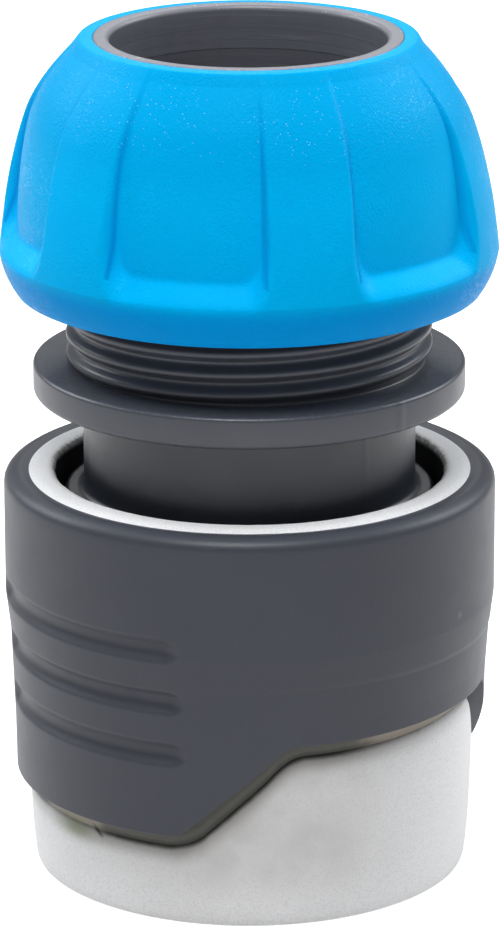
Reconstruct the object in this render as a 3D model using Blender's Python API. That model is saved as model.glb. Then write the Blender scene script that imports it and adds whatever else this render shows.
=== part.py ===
"""Garden hose quick connector, standing on its plug end.

A hose is pushed over the barbed tail and clamped by a collet, which the nut
draws into the cone of the threaded collar. A plug goes in from below, where
four claws lock behind its flange until the sprung sleeve is pulled up.
Metres, +Z up along the axis, origin in the middle of the base. The front, which
angles are counted from, is -Y; angles grow towards +X.
"""

import math

import bmesh
import bpy
from mathutils import Matrix, Vector

# Fits between pieces
CLEARANCE = 0.0003
SLIDE_FIT = 0.00035
SHOULDER_FIT = 0.0006

# Fillets below this radius are one flat, and edges above this angle are sharp
FLAT_FILLET = 0.0005
SHARP_ANGLE = math.radians(35)

# Facets of one turn
ROUND_SIDES = 28
SLEEVE_SIDES = 48
NUT_GRIP_SIDES = 36
SMALL_SIDES = 18

# Plug socket
PLUG_BORE_RADIUS = 0.0087
SEAL_BORE_STEP = 0.0007
SOCKET_WALL = 0.0022
LATCH_DEPTH = 0.0064
SEAL_BORE_DEPTH = 0.0066

# Mouth ring
MOUTH_RECESS = 0.0004
MOUTH_FLANGE_THICKNESS = 0.0019
MOUTH_CATCH = 0.0006
MOUTH_COLLAR_HEIGHT = 0.0023
MOUTH_COLLAR_WALL = 0.0010

# Locking claws
CLAW_COUNT = 4
CLAW_OFFSET = 0.0019
CLAW_HEIGHT = 0.0041
CLAW_REACH = 0.0015
CLAW_TIP_HEIGHT = 0.0016
CLAW_SPAN = math.radians(34)
CLAW_HEAD_SPAN = math.radians(44)
CLAW_HEAD_THICKNESS = 0.0008
CAM_SLOPE = 1 / 3

# Sleeve
SLEEVE_RISE = 0.00135
SHELL_WALL = 0.0020
LAND_LENGTH = 0.0018
BASE_STEP = 0.00035
BASE_DRAFT = 0.0005
SLEEVE_GRIP_THICKNESS = 0.0016
SLEEVE_GRIP_TAPER = 0.00065
GRIP_CROWN = 0.0003
GRIP_WAIST_DROP = 0.0095
WAVE_LOW = 0.00745
WAVE_RISE = 0.00725
WAVE_CENTRE = math.radians(44.75)
WAVE_HALF_WIDTH = math.radians(33.75)
WAVE_RAMP = math.radians(30)
BASE_STEP_DROP = 0.00125

# Finger grooves of the sleeve
GROOVE_COUNT = 3
GROOVE_PITCH = 0.0041
GROOVE_DROP = 0.0088
GROOVE_WIDTH = 0.0019
GROOVE_DEPTH = 0.0006
GROOVE_SPAN = math.radians(70)
GROOVE_CENTRES = (math.radians(-48), math.radians(136))

# Return spring
SPRING_LENGTH = 0.0124
SPRING_WIRE = 0.0011
SPRING_TURNS = 5

# Hose tail and its seal
TAIL_WALL = 0.0016
TAIL_FLANGE_THICKNESS = 0.0018
SEAL_CORD_RADIUS = 0.00055
SEAL_FIT = 0.00015
BARB_COUNT = 5
BARB_PITCH = 0.0044
BARB_HEIGHT = 0.0006
TAIL_LENGTH = 0.0275

# Body
HOSE_ROOM_WIDTH = 0.0037
WEB_THICKNESS = 0.0042
NECK_WALL = 0.0023
NECK_LENGTH = 0.00755
SHOULDER_STEP = 0.00155
SHOULDER_HEIGHT = 0.00315
FLANGE_STEP = 0.00375
FLANGE_THICKNESS = 0.00245

# Threaded collar
COLLAR_LENGTH = 0.01035
COLLAR_WALL = 0.00115
CONE_LENGTH = 0.0100
CONE_SLOPE = 0.16
THREAD_DEPTH = 0.0008
THREAD_PITCH = 0.00155
THREAD_CREST = 0.00045
THREAD_FLANK = 0.0003
THREAD_PLAY = 0.7
THREAD_START = math.radians(-117)
THREAD_SIDES = 20
KEY_WIDTH = 0.0014
KEY_DEPTH = 0.0006

# Nut
NUT_OPENING = 0.0054
COLLAR_HEADROOM = 0.0004
NUT_BORE_RADIUS = 0.01035
NUT_BORE_LENGTH = 0.0050
NUT_RING_WIDTH = 0.0012
NUT_WALL = 0.0017
NUT_THREAD_TURNS = 3.5
CROWN_RISE = 0.0011
CROWN_SLOPE_LENGTH = 0.0045
RIDGE_CATCH = 0.0006
RIDGE_THICKNESS = 0.0008

# Nut grip, its radii counted from the core inside it
GRIP_WALL = 0.00297
GRIP_FOOT_WALL = 0.00155
GRIP_CROWN_WALL = 0.0017
GRIP_LIP = 0.00095
GRIP_WIDEST_HEIGHT = 0.0034
GRIP_BULGE = 0.0006
PANEL_COUNT = 6
PANEL_CENTRE = math.radians(-14.5)
PANEL_SPAN = math.radians(39.5)
PANEL_DEPTH = 0.00115
PANEL_SILL = 0.0009
PANEL_INSET = 0.0003
PANEL_CORNER = 0.0018

# Collet
COLLET_RING_HEIGHT = 0.0026
FINGER_COUNT = 6
FINGER_LENGTH = 0.0101
FINGER_WALL = 0.0008
FINGER_SLOT = 0.0022
TOOTH_COUNT = 3
TOOTH_HEIGHT = 0.0004
TOOTH_PITCH = 0.0020

# Heights of the socket end, from the base up
mouth_flange_top = MOUTH_RECESS + MOUTH_FLANGE_THICKNESS
socket_end = mouth_flange_top + CLEARANCE
mouth_collar_top = mouth_flange_top + MOUTH_COLLAR_HEIGHT
claw_bottom = mouth_collar_top + CLAW_OFFSET
claw_top = claw_bottom + CLAW_HEIGHT
seal_bore_bottom = claw_top + LATCH_DEPTH
tail_bottom = seal_bore_bottom + SEAL_BORE_DEPTH
tail_flange_top = tail_bottom + TAIL_FLANGE_THICKNESS
seal_room = 2 * (SEAL_CORD_RADIUS + SEAL_FIT)
web_bottom = tail_flange_top + seal_room
web_top = web_bottom + WEB_THICKNESS

# Radii of the socket end, from the axis out
seal_bore_radius = PLUG_BORE_RADIUS - SEAL_BORE_STEP
tail_radius = seal_bore_radius - seal_room
tail_bore_radius = tail_radius - TAIL_WALL
claw_tip_radius = PLUG_BORE_RADIUS - CLAW_REACH
socket_radius = PLUG_BORE_RADIUS + SOCKET_WALL
land_radius = socket_radius + SLIDE_FIT
claw_head_inner = socket_radius + CLEARANCE
cam_radius = claw_head_inner + CLAW_HEAD_THICKNESS + CLEARANCE
cam_height = (claw_bottom + claw_top) / 2
land_bottom = cam_height + (cam_radius - land_radius) / CAM_SLOPE
ledge_top = land_bottom + LAND_LENGTH

# Heights of the body above the sleeve's spring
spring_bottom = ledge_top + CLEARANCE
spring_top = spring_bottom + SPRING_LENGTH
shoulder_bottom = spring_top + CLEARANCE
shoulder_top = shoulder_bottom + SHOULDER_HEIGHT
flange_bottom = shoulder_top + NECK_LENGTH
flange_top = flange_bottom + FLANGE_THICKNESS
collar_top = flange_top + COLLAR_LENGTH
cone_bottom = collar_top - CONE_LENGTH

# Radii of the body and of the sleeve round it
hose_room_radius = tail_radius + HOSE_ROOM_WIDTH
neck_radius = hose_room_radius + NECK_WALL
shoulder_radius = neck_radius + SHOULDER_STEP
flange_radius = neck_radius + FLANGE_STEP
cone_top_radius = hose_room_radius + CONE_LENGTH * CONE_SLOPE
thread_root = cone_top_radius + COLLAR_WALL
thread_radius = thread_root + THREAD_DEPTH
sleeve_inner = shoulder_radius + SHOULDER_FIT
shell_radius = sleeve_inner + SHELL_WALL
base_radius = shell_radius + BASE_STEP
grip_inner = shell_radius + CLEARANCE
grip_outer = grip_inner + SLEEVE_GRIP_THICKNESS
grip_edge = grip_outer - SLEEVE_GRIP_TAPER

# Heights of the sleeve, which stands on the base
sleeve_top = shoulder_top + SLEEVE_RISE
grip_waist = sleeve_top - GRIP_WAIST_DROP
wave_high = WAVE_LOW + WAVE_RISE

# Heights of the nut, which stands open by NUT_OPENING
nut_bottom = flange_top + NUT_OPENING
nut_travel = NUT_OPENING - CLEARANCE
ridge_bottom = collar_top + nut_travel + COLLAR_HEADROOM
ridge_top = ridge_bottom + RIDGE_THICKNESS
collet_ring_bottom = ridge_top + CLEARANCE
collet_ring_top = collet_ring_bottom + COLLET_RING_HEIGHT
nut_bore_bottom = collet_ring_top + CLEARANCE
nut_top = nut_bore_bottom + NUT_BORE_LENGTH
crown = nut_bore_bottom + CROWN_RISE
crown_foot = crown - CROWN_SLOPE_LENGTH
grip_widest = nut_bottom + GRIP_WIDEST_HEIGHT

# Radii of the nut and of the collet's ring in it
collet_ring_radius = cone_top_radius + CLEARANCE / 2
nut_cavity_radius = collet_ring_radius + CLEARANCE
nut_catch_radius = collet_ring_radius - RIDGE_CATCH
finger_limit = nut_catch_radius - CLEARANCE
nut_thread_radius = thread_radius + CLEARANCE
nut_core_radius = nut_thread_radius + NUT_WALL
nut_crown_radius = nut_cavity_radius + NUT_WALL
nut_ring_radius = NUT_BORE_RADIUS + NUT_RING_WIDTH
grip_radius = nut_core_radius + GRIP_WALL
grip_foot_radius = nut_core_radius + GRIP_FOOT_WALL
grip_kink_radius = nut_crown_radius + GRIP_CROWN_WALL
grip_top_radius = nut_ring_radius + GRIP_LIP


def cam_at(height):
    """Radius of the sleeve's cam cone, which widens downwards."""
    return cam_radius + (cam_height - height) * CAM_SLOPE


def cone_at(height):
    """Radius of the cone inside the threaded collar."""
    return hose_room_radius + max(0.0, height - cone_bottom) * CONE_SLOPE


def wave_at(angle):
    """Height of the sleeve grip's lower edge: low all round, with one raised
    stretch and a ramp at each side of it."""
    away = abs((angle - WAVE_CENTRE + math.pi) % (2 * math.pi) - math.pi)
    share = min(1.0, max(0.0, (WAVE_HALF_WIDTH + WAVE_RAMP - away) / WAVE_RAMP))
    eased = 0.8 * share + 0.2 * share * share * (3 - 2 * share)
    return WAVE_LOW + WAVE_RISE * eased


def front_point(radius, angle, height=0.0):
    """Point at an angle from the front, -Y, towards +X."""
    return Vector((radius * math.sin(angle), -radius * math.cos(angle), height))


def material(name, colour, roughness, metallic=0.0):
    made = bpy.data.materials.new(name)
    made.use_nodes = True
    shader = made.node_tree.nodes["Principled BSDF"]
    shader.inputs["Base Color"].default_value = (*colour, 1.0)
    shader.inputs["Roughness"].default_value = roughness
    shader.inputs["Metallic"].default_value = metallic
    return made


def shade(mesh):
    """Smooth shading with the edges kept sharp."""
    mesh.shade_smooth()
    mesh.set_sharp_from_angle(angle=SHARP_ANGLE)


def placed(name, bm, finish):
    """Object of a finished bmesh."""
    bmesh.ops.recalc_face_normals(bm, faces=bm.faces)
    mesh = bpy.data.meshes.new(name)
    bm.to_mesh(mesh)
    bm.free()
    shade(mesh)
    mesh.materials.append(finish)
    made = bpy.data.objects.new(name, mesh)
    bpy.context.scene.collection.objects.link(made)
    return made


def cutter(name, bm, finish):
    """Helper that a Boolean uses, left out of the model."""
    made = placed(name, bm, finish)
    made.hide_render = True
    made.display_type = "WIRE"
    return made


def combine(target, other, operation):
    """Joins the other mesh to the target, or cuts it out, for good, so that
    the new edges are shaded sharp as well."""
    step = target.modifiers.new(other.name, "BOOLEAN")
    step.operation = operation
    step.solver = "EXACT"
    step.object = other
    evaluated = target.evaluated_get(bpy.context.evaluated_depsgraph_get())
    plain = target.data
    target.data = bpy.data.meshes.new_from_object(evaluated)
    target.modifiers.clear()
    bpy.data.meshes.remove(plain)
    target.data.name = target.name
    shade(target.data)


def rounded(corners, turn=math.radians(45)):
    """Outline through (radius, height) corners. A third number on a corner is
    its fillet radius, drawn as an arc with a point every `turn`, or as one flat
    where it is small."""
    points = []
    for index, corner in enumerate(corners):
        here = Vector(corner[:2])
        if len(corner) == 2:
            points.append(here)
            continue
        to_last = Vector(corners[index - 1][:2]) - here
        to_next = Vector(corners[(index + 1) % len(corners)][:2]) - here
        opening = to_last.angle(to_next)
        reach = min(corner[2] / math.tan(opening / 2), to_last.length / 2.01, to_next.length / 2.01)
        fillet = reach * math.tan(opening / 2)
        bisector = (to_last.normalized() + to_next.normalized()).normalized()
        centre = here + bisector * fillet / math.sin(opening / 2)
        start = here + to_last.normalized() * reach - centre
        sweep = math.pi - opening
        side = 1 if to_last.cross(to_next) < 0 else -1
        steps = 1 if corner[2] < FLAT_FILLET else max(1, round(sweep / turn))
        for step in range(steps + 1):
            points.append(centre + Matrix.Rotation(side * sweep * step / steps, 2) @ start)
    return points


def bowed(first, last, bulge, steps):
    """Points of a flat arc between two outline points, without its ends."""
    start, end = Vector(first), Vector(last)
    outward = Vector((end.y - start.y, start.x - end.x)).normalized()
    if outward.x < 0:
        outward = -outward
    shares = [step / steps for step in range(1, steps)]
    return [tuple(start.lerp(end, share) + outward * 4 * bulge * share * (1 - share)) for share in shares]


def spun(bm, outline, sides, span=2 * math.pi, centre=0.0):
    """Solid of an outline turned round Z, over a span of angle or in full, and
    then with a facet's edge at the centre angle."""
    whole = math.isclose(span, 2 * math.pi)
    first = centre if whole else centre - span / 2
    verts = [bm.verts.new(front_point(radius, first, height)) for radius, height in outline]
    if whole:
        geometry = verts + [bm.edges.new((verts[i - 1], verts[i])) for i in range(len(verts))]
    else:
        geometry = [bm.faces.new(verts)]
    bmesh.ops.spin(
        bm, geom=geometry, cent=(0, 0, 0), axis=(0, 0, 1), angle=span, steps=sides, use_merge=whole
    )


def turned(name, outline, finish, sides=ROUND_SIDES):
    bm = bmesh.new()
    spun(bm, outline, sides)
    return placed(name, bm, finish)


def helical_ridge(name, section, pitch, turns, bottom, start, finish, sides):
    """Thread form: a closed (radius, height) section carried up a helix."""
    bm = bmesh.new()
    verts = [bm.verts.new(front_point(radius, start, bottom + rise)) for radius, rise in section]
    steps = round(turns * sides)
    bmesh.ops.spin(
        bm,
        geom=[bm.faces.new(verts)],
        cent=(0, 0, 0),
        axis=(0, 0, 1),
        dvec=(0, 0, pitch / sides),
        angle=2 * math.pi * steps / sides,
        steps=steps,
    )
    return cutter(name, bm, finish)


def boxes(bm, size, radius, bottom, angles):
    """Boxes (across, radial, height) whose inner faces stand at a radius."""
    across, radial, height = size
    for angle in angles:
        middle = front_point(radius + radial / 2, angle, bottom + height / 2)
        matrix = Matrix.Translation(middle) @ Matrix.Rotation(angle, 4, "Z")
        matrix = matrix @ Matrix.Diagonal((across, radial, height, 1))
        bmesh.ops.create_cube(bm, size=1, matrix=matrix)


def spread(count, first=0.0):
    return [first + 2 * math.pi * index / count for index in range(count)]


def follow_wave(bm, level, drop):
    """Moves the ring of points at a level onto the wavy edge."""
    for vert in bm.verts:
        if abs(vert.co.z - level) < 1e-7:
            angle = math.atan2(vert.co.x, -vert.co.y)
            vert.co.z = wave_at(angle) - drop


def clear_scene():
    for item in list(bpy.data.objects):
        bpy.data.objects.remove(item, do_unlink=True)


def make_main_body(finish):
    """One moulding: socket tube with claw windows, shoulder, neck, flange and
    threaded collar with the clamping cone inside."""
    body = turned(
        "main_body",
        rounded([
            (thread_root, collar_top, 0.0004),
            (thread_root, flange_top, 0.0003),
            (flange_radius, flange_top, 0.0004),
            (flange_radius, flange_bottom, 0.0004),
            (neck_radius, flange_bottom, 0.0005),
            (neck_radius, shoulder_top, 0.0005),
            (shoulder_radius, shoulder_top, 0.0007),
            (shoulder_radius, shoulder_bottom),
            (socket_radius, shoulder_bottom),
            (socket_radius, socket_end),
            (PLUG_BORE_RADIUS, socket_end),
            (PLUG_BORE_RADIUS, seal_bore_bottom),
            (seal_bore_radius, seal_bore_bottom + SEAL_BORE_STEP),
            (seal_bore_radius, web_bottom),
            (tail_radius + CLEARANCE, web_bottom),
            (tail_radius + CLEARANCE, web_top),
            (hose_room_radius, web_top, 0.0008),
            (hose_room_radius, cone_bottom),
            (cone_top_radius, collar_top, 0.0003),
        ]),
        finish,
    )
    half_crest = THREAD_CREST / 2
    half_root = half_crest + THREAD_FLANK
    sunk = thread_root - CLEARANCE
    half_sunk = half_root + THREAD_FLANK * CLEARANCE / THREAD_DEPTH
    bottom = flange_top + THREAD_CREST
    turns = (collar_top - half_root - bottom) / THREAD_PITCH
    section = [(sunk, -half_sunk), (thread_radius, -half_crest), (thread_radius, half_crest), (sunk, half_sunk)]
    ridge = helical_ridge(
        "body_thread", section, THREAD_PITCH, turns, bottom, THREAD_START, finish, THREAD_SIDES
    )
    combine(body, ridge, "UNION")

    bm = bmesh.new()
    window_span = CLAW_SPAN + 2 * CLEARANCE / PLUG_BORE_RADIUS
    inner = seal_bore_radius - SOCKET_WALL
    outer = socket_radius + SOCKET_WALL / 2
    low = claw_bottom - CLEARANCE
    high = claw_top + CLEARANCE
    for angle in spread(CLAW_COUNT):
        spun(bm, [(inner, low), (outer, low), (outer, high), (inner, high)], 3, window_span, angle)
    combine(body, cutter("claw_windows", bm, finish), "DIFFERENCE")

    bm = bmesh.new()
    key_height = CONE_LENGTH - 2 * COLLAR_HEADROOM
    key_outer = (cone_top_radius + thread_root) / 2
    key_inner = hose_room_radius - KEY_DEPTH
    key_size = (KEY_WIDTH, key_outer - key_inner, key_height)
    boxes(bm, key_size, key_inner, cone_bottom + COLLAR_HEADROOM, spread(2, math.pi / FINGER_COUNT))
    combine(body, cutter("collet_keys", bm, finish), "UNION")
    return body


def make_mouth_ring(finish):
    """Flat ring under the socket with a collar round its tube."""
    inner = socket_radius + CLEARANCE
    outer = inner + MOUTH_COLLAR_WALL
    flange = cam_at(socket_end) + MOUTH_CATCH
    return turned(
        "mouth_ring",
        rounded([
            (outer, mouth_collar_top, 0.0003),
            (outer, mouth_flange_top),
            (flange, mouth_flange_top),
            (flange, MOUTH_RECESS, 0.0005),
            (PLUG_BORE_RADIUS, MOUTH_RECESS, 0.0008),
            (PLUG_BORE_RADIUS, mouth_flange_top),
            (inner, mouth_flange_top),
            (inner, mouth_collar_top),
        ]),
        finish,
    )


def make_claw(name, angle, finish):
    """Locking claw: a ramped finger through the window, flat on top, and a
    wider head outside that rides on the sleeve's cam."""
    tip_bottom = claw_top - CLAW_TIP_HEIGHT
    neck = claw_head_inner + CLAW_HEAD_THICKNESS / 2
    head_bottom = claw_bottom - CLEARANCE
    head_top = claw_top - CLEARANCE
    head_neck = min(neck, cam_at(claw_top) - CLEARANCE - CLAW_HEAD_THICKNESS / 10)
    bm = bmesh.new()
    finger = [
        (claw_tip_radius, claw_top),
        (claw_tip_radius, tip_bottom),
        (PLUG_BORE_RADIUS, claw_bottom),
        (neck, claw_bottom),
        (head_neck, claw_top),
    ]
    spun(bm, finger, 5, CLAW_SPAN, angle)
    claw = placed(name, bm, finish)
    bm = bmesh.new()
    head = [
        (claw_head_inner, head_bottom),
        (cam_at(head_bottom) - CLEARANCE, head_bottom),
        (cam_at(head_top) - CLEARANCE, head_top),
        (claw_head_inner, head_top),
    ]
    spun(bm, head, 6, CLAW_HEAD_SPAN, angle)
    combine(claw, cutter(name + "_head", bm, finish), "UNION")
    return claw


def make_hose_tail(finish):
    """Barbed tube with the flange that seats under the web of the body."""
    flange = seal_bore_radius - CLEARANCE
    top = web_top + TAIL_LENGTH
    corners = [(tail_bore_radius + TAIL_WALL / 3, top), (tail_radius - BARB_HEIGHT, top, 0.0005)]
    for index in range(BARB_COUNT):
        barb = top - 0.0016 - index * BARB_PITCH
        corners += [(tail_radius, barb), (tail_radius - BARB_HEIGHT, barb - BARB_HEIGHT / 2)]
    corners += [
        (tail_radius, corners[-1][1] - BARB_PITCH / 2),
        (tail_radius, tail_flange_top),
        (flange, tail_flange_top),
        (flange, tail_bottom, 0.0004),
        (tail_bore_radius, tail_bottom, 0.0008),
        (tail_bore_radius, top - TAIL_WALL / 3),
    ]
    return turned("hose_tail", rounded(corners), finish, SMALL_SIDES)


def make_tail_seal(finish):
    """O-ring in the room between the tail's flange and the body's web."""
    cord = SEAL_CORD_RADIUS
    middle = (tail_radius + seal_bore_radius) / 2
    height = (tail_flange_top + web_bottom) / 2
    ring = [(middle + cord * math.sin(a), height + cord * math.cos(a)) for a in spread(6)]
    return turned("tail_seal", ring, finish, SMALL_SIDES)


def make_return_spring(finish):
    """Compression spring with closed ends, standing on the sleeve's ledge."""
    wire = SPRING_WIRE / 2
    radius = (socket_radius + sleeve_inner) / 2
    low = spring_bottom + wire
    closed_rise = SPRING_WIRE * 1.08
    open_rise = (SPRING_LENGTH - SPRING_WIRE - 2 * closed_rise) / (SPRING_TURNS - 2)
    steps_per_turn = 12
    curve = bpy.data.curves.new("return_spring", "CURVE")
    curve.dimensions = "3D"
    curve.bevel_depth = wire
    curve.bevel_resolution = 1
    curve.use_fill_caps = True
    spline = curve.splines.new("POLY")
    spline.points.add(SPRING_TURNS * steps_per_turn)
    for index, point in enumerate(spline.points):
        turn = index / steps_per_turn
        open_turns = min(max(turn - 1, 0), SPRING_TURNS - 2)
        rise = closed_rise * (turn - open_turns) + open_rise * open_turns
        point.co = (*front_point(radius, 2 * math.pi * turn, low + rise), 1)
    curve.materials.append(finish)
    spring = bpy.data.objects.new("return_spring", curve)
    bpy.context.scene.collection.objects.link(spring)
    return spring


def make_sleeve_shell(finish):
    """Hard sleeve: rim, spring chamber, guide land, cam cone for the claws and
    the bare base, which stands out below the grip's wavy edge."""
    pocket = cam_at(socket_end) + MOUTH_CATCH + CLEARANCE
    step_level = WAVE_LOW - BASE_STEP_DROP
    corners = [
        (shell_radius, sleeve_top, 0.0003),
        (shell_radius, step_level),
        (base_radius, step_level - BASE_STEP),
        (base_radius - BASE_DRAFT, 0.0, 0.0004),
        (pocket, 0.0),
        (pocket, socket_end),
        (cam_at(socket_end), socket_end),
        (land_radius, land_bottom),
        (land_radius, ledge_top),
        (sleeve_inner, ledge_top, 0.0004),
        (sleeve_inner, sleeve_top, 0.0004),
    ]
    bm = bmesh.new()
    spun(bm, rounded(corners), SLEEVE_SIDES, centre=WAVE_CENTRE + WAVE_HALF_WIDTH)
    follow_wave(bm, step_level, BASE_STEP_DROP)
    follow_wave(bm, step_level - BASE_STEP, BASE_STEP_DROP + BASE_STEP)
    return placed("sleeve_shell", bm, finish)


def make_sleeve_grip(finish):
    """Soft moulding over the sleeve, with three grooves for the fingers on
    each side of the raised stretch."""
    crown_top = sleeve_top + GRIP_CROWN
    waist_top = (grip_outer, grip_waist)
    corners = [
        (grip_inner, crown_top, 0.0002),
        (grip_outer, crown_top, 0.0014),
        waist_top,
        (grip_edge + 0.0002, wave_high + 0.0004),
        (grip_edge, WAVE_LOW),
        (grip_inner, WAVE_LOW),
    ]
    bm = bmesh.new()
    spun(bm, rounded(corners, math.radians(30)), SLEEVE_SIDES, centre=WAVE_CENTRE + WAVE_HALF_WIDTH)
    follow_wave(bm, WAVE_LOW, 0.0)
    grip = placed("sleeve_grip", bm, finish)

    rod = (GROOVE_WIDTH ** 2 / 4 + GROOVE_DEPTH ** 2) / (2 * GROOVE_DEPTH)
    bm = bmesh.new()
    for centre in GROOVE_CENTRES:
        for index in range(GROOVE_COUNT):
            height = sleeve_top - GROOVE_DROP - index * GROOVE_PITCH
            below_waist = max(0.0, grip_waist - height) / (grip_waist - wave_high)
            surface = grip_outer - SLEEVE_GRIP_TAPER * min(1.0, below_waist)
            groove_rod(bm, surface + rod - GROOVE_DEPTH, height, rod, centre)
    combine(grip, cutter("finger_grooves", bm, finish), "DIFFERENCE")
    return grip


def groove_rod(bm, radius, height, rod, centre):
    """Round bar bent along the sleeve, thinning to both ends."""
    steps = 8
    loops = []
    for step in range(steps + 1):
        share = 2 * step / steps - 1
        angle = centre + share * GROOVE_SPAN / 2
        size = rod * math.sqrt(max(0.02, 1 - abs(share) ** 8))
        matrix = Matrix.Translation(front_point(radius, angle, height))
        matrix = matrix @ Matrix.Rotation(angle, 4, "Z") @ Matrix.Rotation(math.pi / 2, 4, "Y")
        ends = step in (0, steps)
        ring = bmesh.ops.create_circle(bm, cap_ends=ends, segments=8, radius=size, matrix=matrix)
        loops.append(list({edge for vert in ring["verts"] for edge in vert.link_edges}))
    for first, second in zip(loops, loops[1:]):
        bmesh.ops.bridge_loops(bm, edges=first + second)


def make_nut_core(finish):
    """Hard nut: thread inside, a catch ridge that holds the collet's ring and
    the bore that the hose goes through."""
    core = turned(
        "nut_core",
        rounded([
            (nut_ring_radius, nut_top, 0.0002),
            (nut_ring_radius + 0.0003, nut_top - 0.0012),
            (nut_crown_radius, crown),
            (nut_core_radius, crown_foot, 0.0020),
            (nut_core_radius, nut_bottom, 0.0003),
            (nut_thread_radius, nut_bottom, 0.0004),
            (nut_thread_radius, ridge_bottom),
            (nut_catch_radius, ridge_bottom),
            (nut_catch_radius, ridge_top),
            (nut_cavity_radius, ridge_top),
            (nut_cavity_radius, nut_bore_bottom),
            (NUT_BORE_RADIUS, nut_bore_bottom),
            (NUT_BORE_RADIUS, nut_top, 0.0005),
        ]),
        finish,
    )
    flank = THREAD_FLANK / THREAD_DEPTH
    half_base = (THREAD_PITCH - THREAD_CREST) / 2 + flank * CLEARANCE - THREAD_FLANK * THREAD_PLAY
    half_sunk = half_base + flank * CLEARANCE
    half_tip = half_base - flank * THREAD_DEPTH
    base = nut_thread_radius + CLEARANCE
    tip = nut_thread_radius - THREAD_DEPTH
    section = [(tip, -half_tip), (tip, half_tip), (base, half_sunk), (base, -half_sunk)]
    turns_up = math.ceil(NUT_OPENING / THREAD_PITCH)
    bottom = flange_top + THREAD_CREST + (turns_up + 0.5) * THREAD_PITCH
    room = (ridge_bottom - CLEARANCE - half_sunk - bottom) / THREAD_PITCH
    turns = min(NUT_THREAD_TURNS, room)
    ridge = helical_ridge(
        "nut_thread", section, THREAD_PITCH, turns, bottom, THREAD_START, finish, THREAD_SIDES
    )
    combine(core, ridge, "UNION")
    return core


def make_nut_grip(finish):
    """Soft moulding over the nut with six sunk panels, deepest at the sill
    and running out at the top."""
    inner = nut_core_radius + CLEARANCE
    widest = (grip_radius, grip_widest)
    kink = (grip_kink_radius, crown)
    side = bowed(kink, widest, GRIP_BULGE, 5)
    grip = turned(
        "nut_grip",
        rounded([
            (nut_ring_radius + CLEARANCE, nut_top, 0.0002),
            (grip_top_radius, nut_top, 0.0004),
            kink,
            *side,
            (*widest, 0.0008),
            (grip_foot_radius + 0.0008, nut_bottom + 0.0009),
            (grip_foot_radius, nut_bottom, 0.0003),
            (inner, nut_bottom),
            (inner, crown_foot, 0.0020),
            (nut_crown_radius + CLEARANCE, crown + CLEARANCE / 2),
            (nut_ring_radius + 2 * CLEARANCE, nut_top - 0.0012 + CLEARANCE / 2),
        ]),
        finish,
        NUT_GRIP_SIDES,
    )
    sill = grip_widest + PANEL_SILL
    floor = sill + PANEL_DEPTH
    panel_foot = (grip_radius - PANEL_DEPTH - PANEL_INSET, floor)
    panel_kink = (grip_kink_radius - PANEL_INSET, crown)
    back = bowed(panel_kink, panel_foot, GRIP_BULGE, 4)
    outside = grip_radius + 2 * PANEL_DEPTH
    outline = [
        (outside, sill - 2 * PANEL_DEPTH),
        (outside, nut_top),
        (grip_top_radius + 2 * PANEL_INSET, nut_top),
        panel_kink,
        *back,
        panel_foot,
    ]
    bm = bmesh.new()
    for angle in spread(PANEL_COUNT, PANEL_CENTRE):
        spun(bm, outline, 7, PANEL_SPAN, angle)
    bmesh.ops.recalc_face_normals(bm, faces=bm.faces)
    corners = [edge for edge in bm.edges if is_sill_end(edge, floor, outside)]
    bmesh.ops.bevel(bm, geom=corners, offset=PANEL_CORNER, segments=3, profile=0.5, affect="EDGES")
    combine(grip, cutter("grip_panels", bm, finish), "DIFFERENCE")
    return grip


def is_sill_end(edge, floor, outside):
    """True for the two lower corners of a panel, which run outwards."""
    first, second = (Vector((v.co.x, v.co.y)).length for v in edge.verts)
    heights = sorted(vert.co.z for vert in edge.verts)
    runs_out = abs(first - second) > PANEL_DEPTH and max(first, second) > outside - CLEARANCE
    flat_ends = [face for face in edge.link_faces if len(face.verts) > 4]
    return runs_out and abs(heights[1] - floor) < 1e-6 and len(flat_ends) == 1


def make_clamp_collet(finish):
    """Ring with slotted, toothed fingers. The outside follows the collar's
    cone as it is with the nut screwed right down, so the fingers stay clear
    until a hose spreads them."""
    tip = collet_ring_bottom - FINGER_LENGTH
    tip_radius = cone_at(tip - nut_travel) - CLEARANCE
    bore = tip_radius - FINGER_WALL
    full = tip + (finger_limit - tip_radius) / CONE_SLOPE
    corners = [
        (collet_ring_radius, collet_ring_top),
        (collet_ring_radius, collet_ring_bottom),
        (finger_limit, collet_ring_bottom),
        (finger_limit, min(full, collet_ring_bottom - CLEARANCE)),
        (tip_radius, tip),
    ]
    for index in range(TOOTH_COUNT):
        tooth = tip + index * TOOTH_PITCH
        corners += [(bore, tooth), (bore - TOOTH_HEIGHT, tooth + TOOTH_HEIGHT)]
    corners += [
        (bore, tip + TOOTH_COUNT * TOOTH_PITCH),
        (bore, collet_ring_top, 0.0006),
    ]
    collet = turned("clamp_collet", rounded(corners), finish)
    bm = bmesh.new()
    slot_bottom = tip - CLEARANCE
    slot_height = collet_ring_bottom - CLEARANCE - slot_bottom
    inner = bore - 3 * TOOTH_HEIGHT
    size = (FINGER_SLOT, collet_ring_radius - inner, slot_height)
    boxes(bm, size, inner, slot_bottom, spread(FINGER_COUNT, math.pi / FINGER_COUNT))
    combine(collet, cutter("finger_slots", bm, finish), "DIFFERENCE")
    return collet


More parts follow.
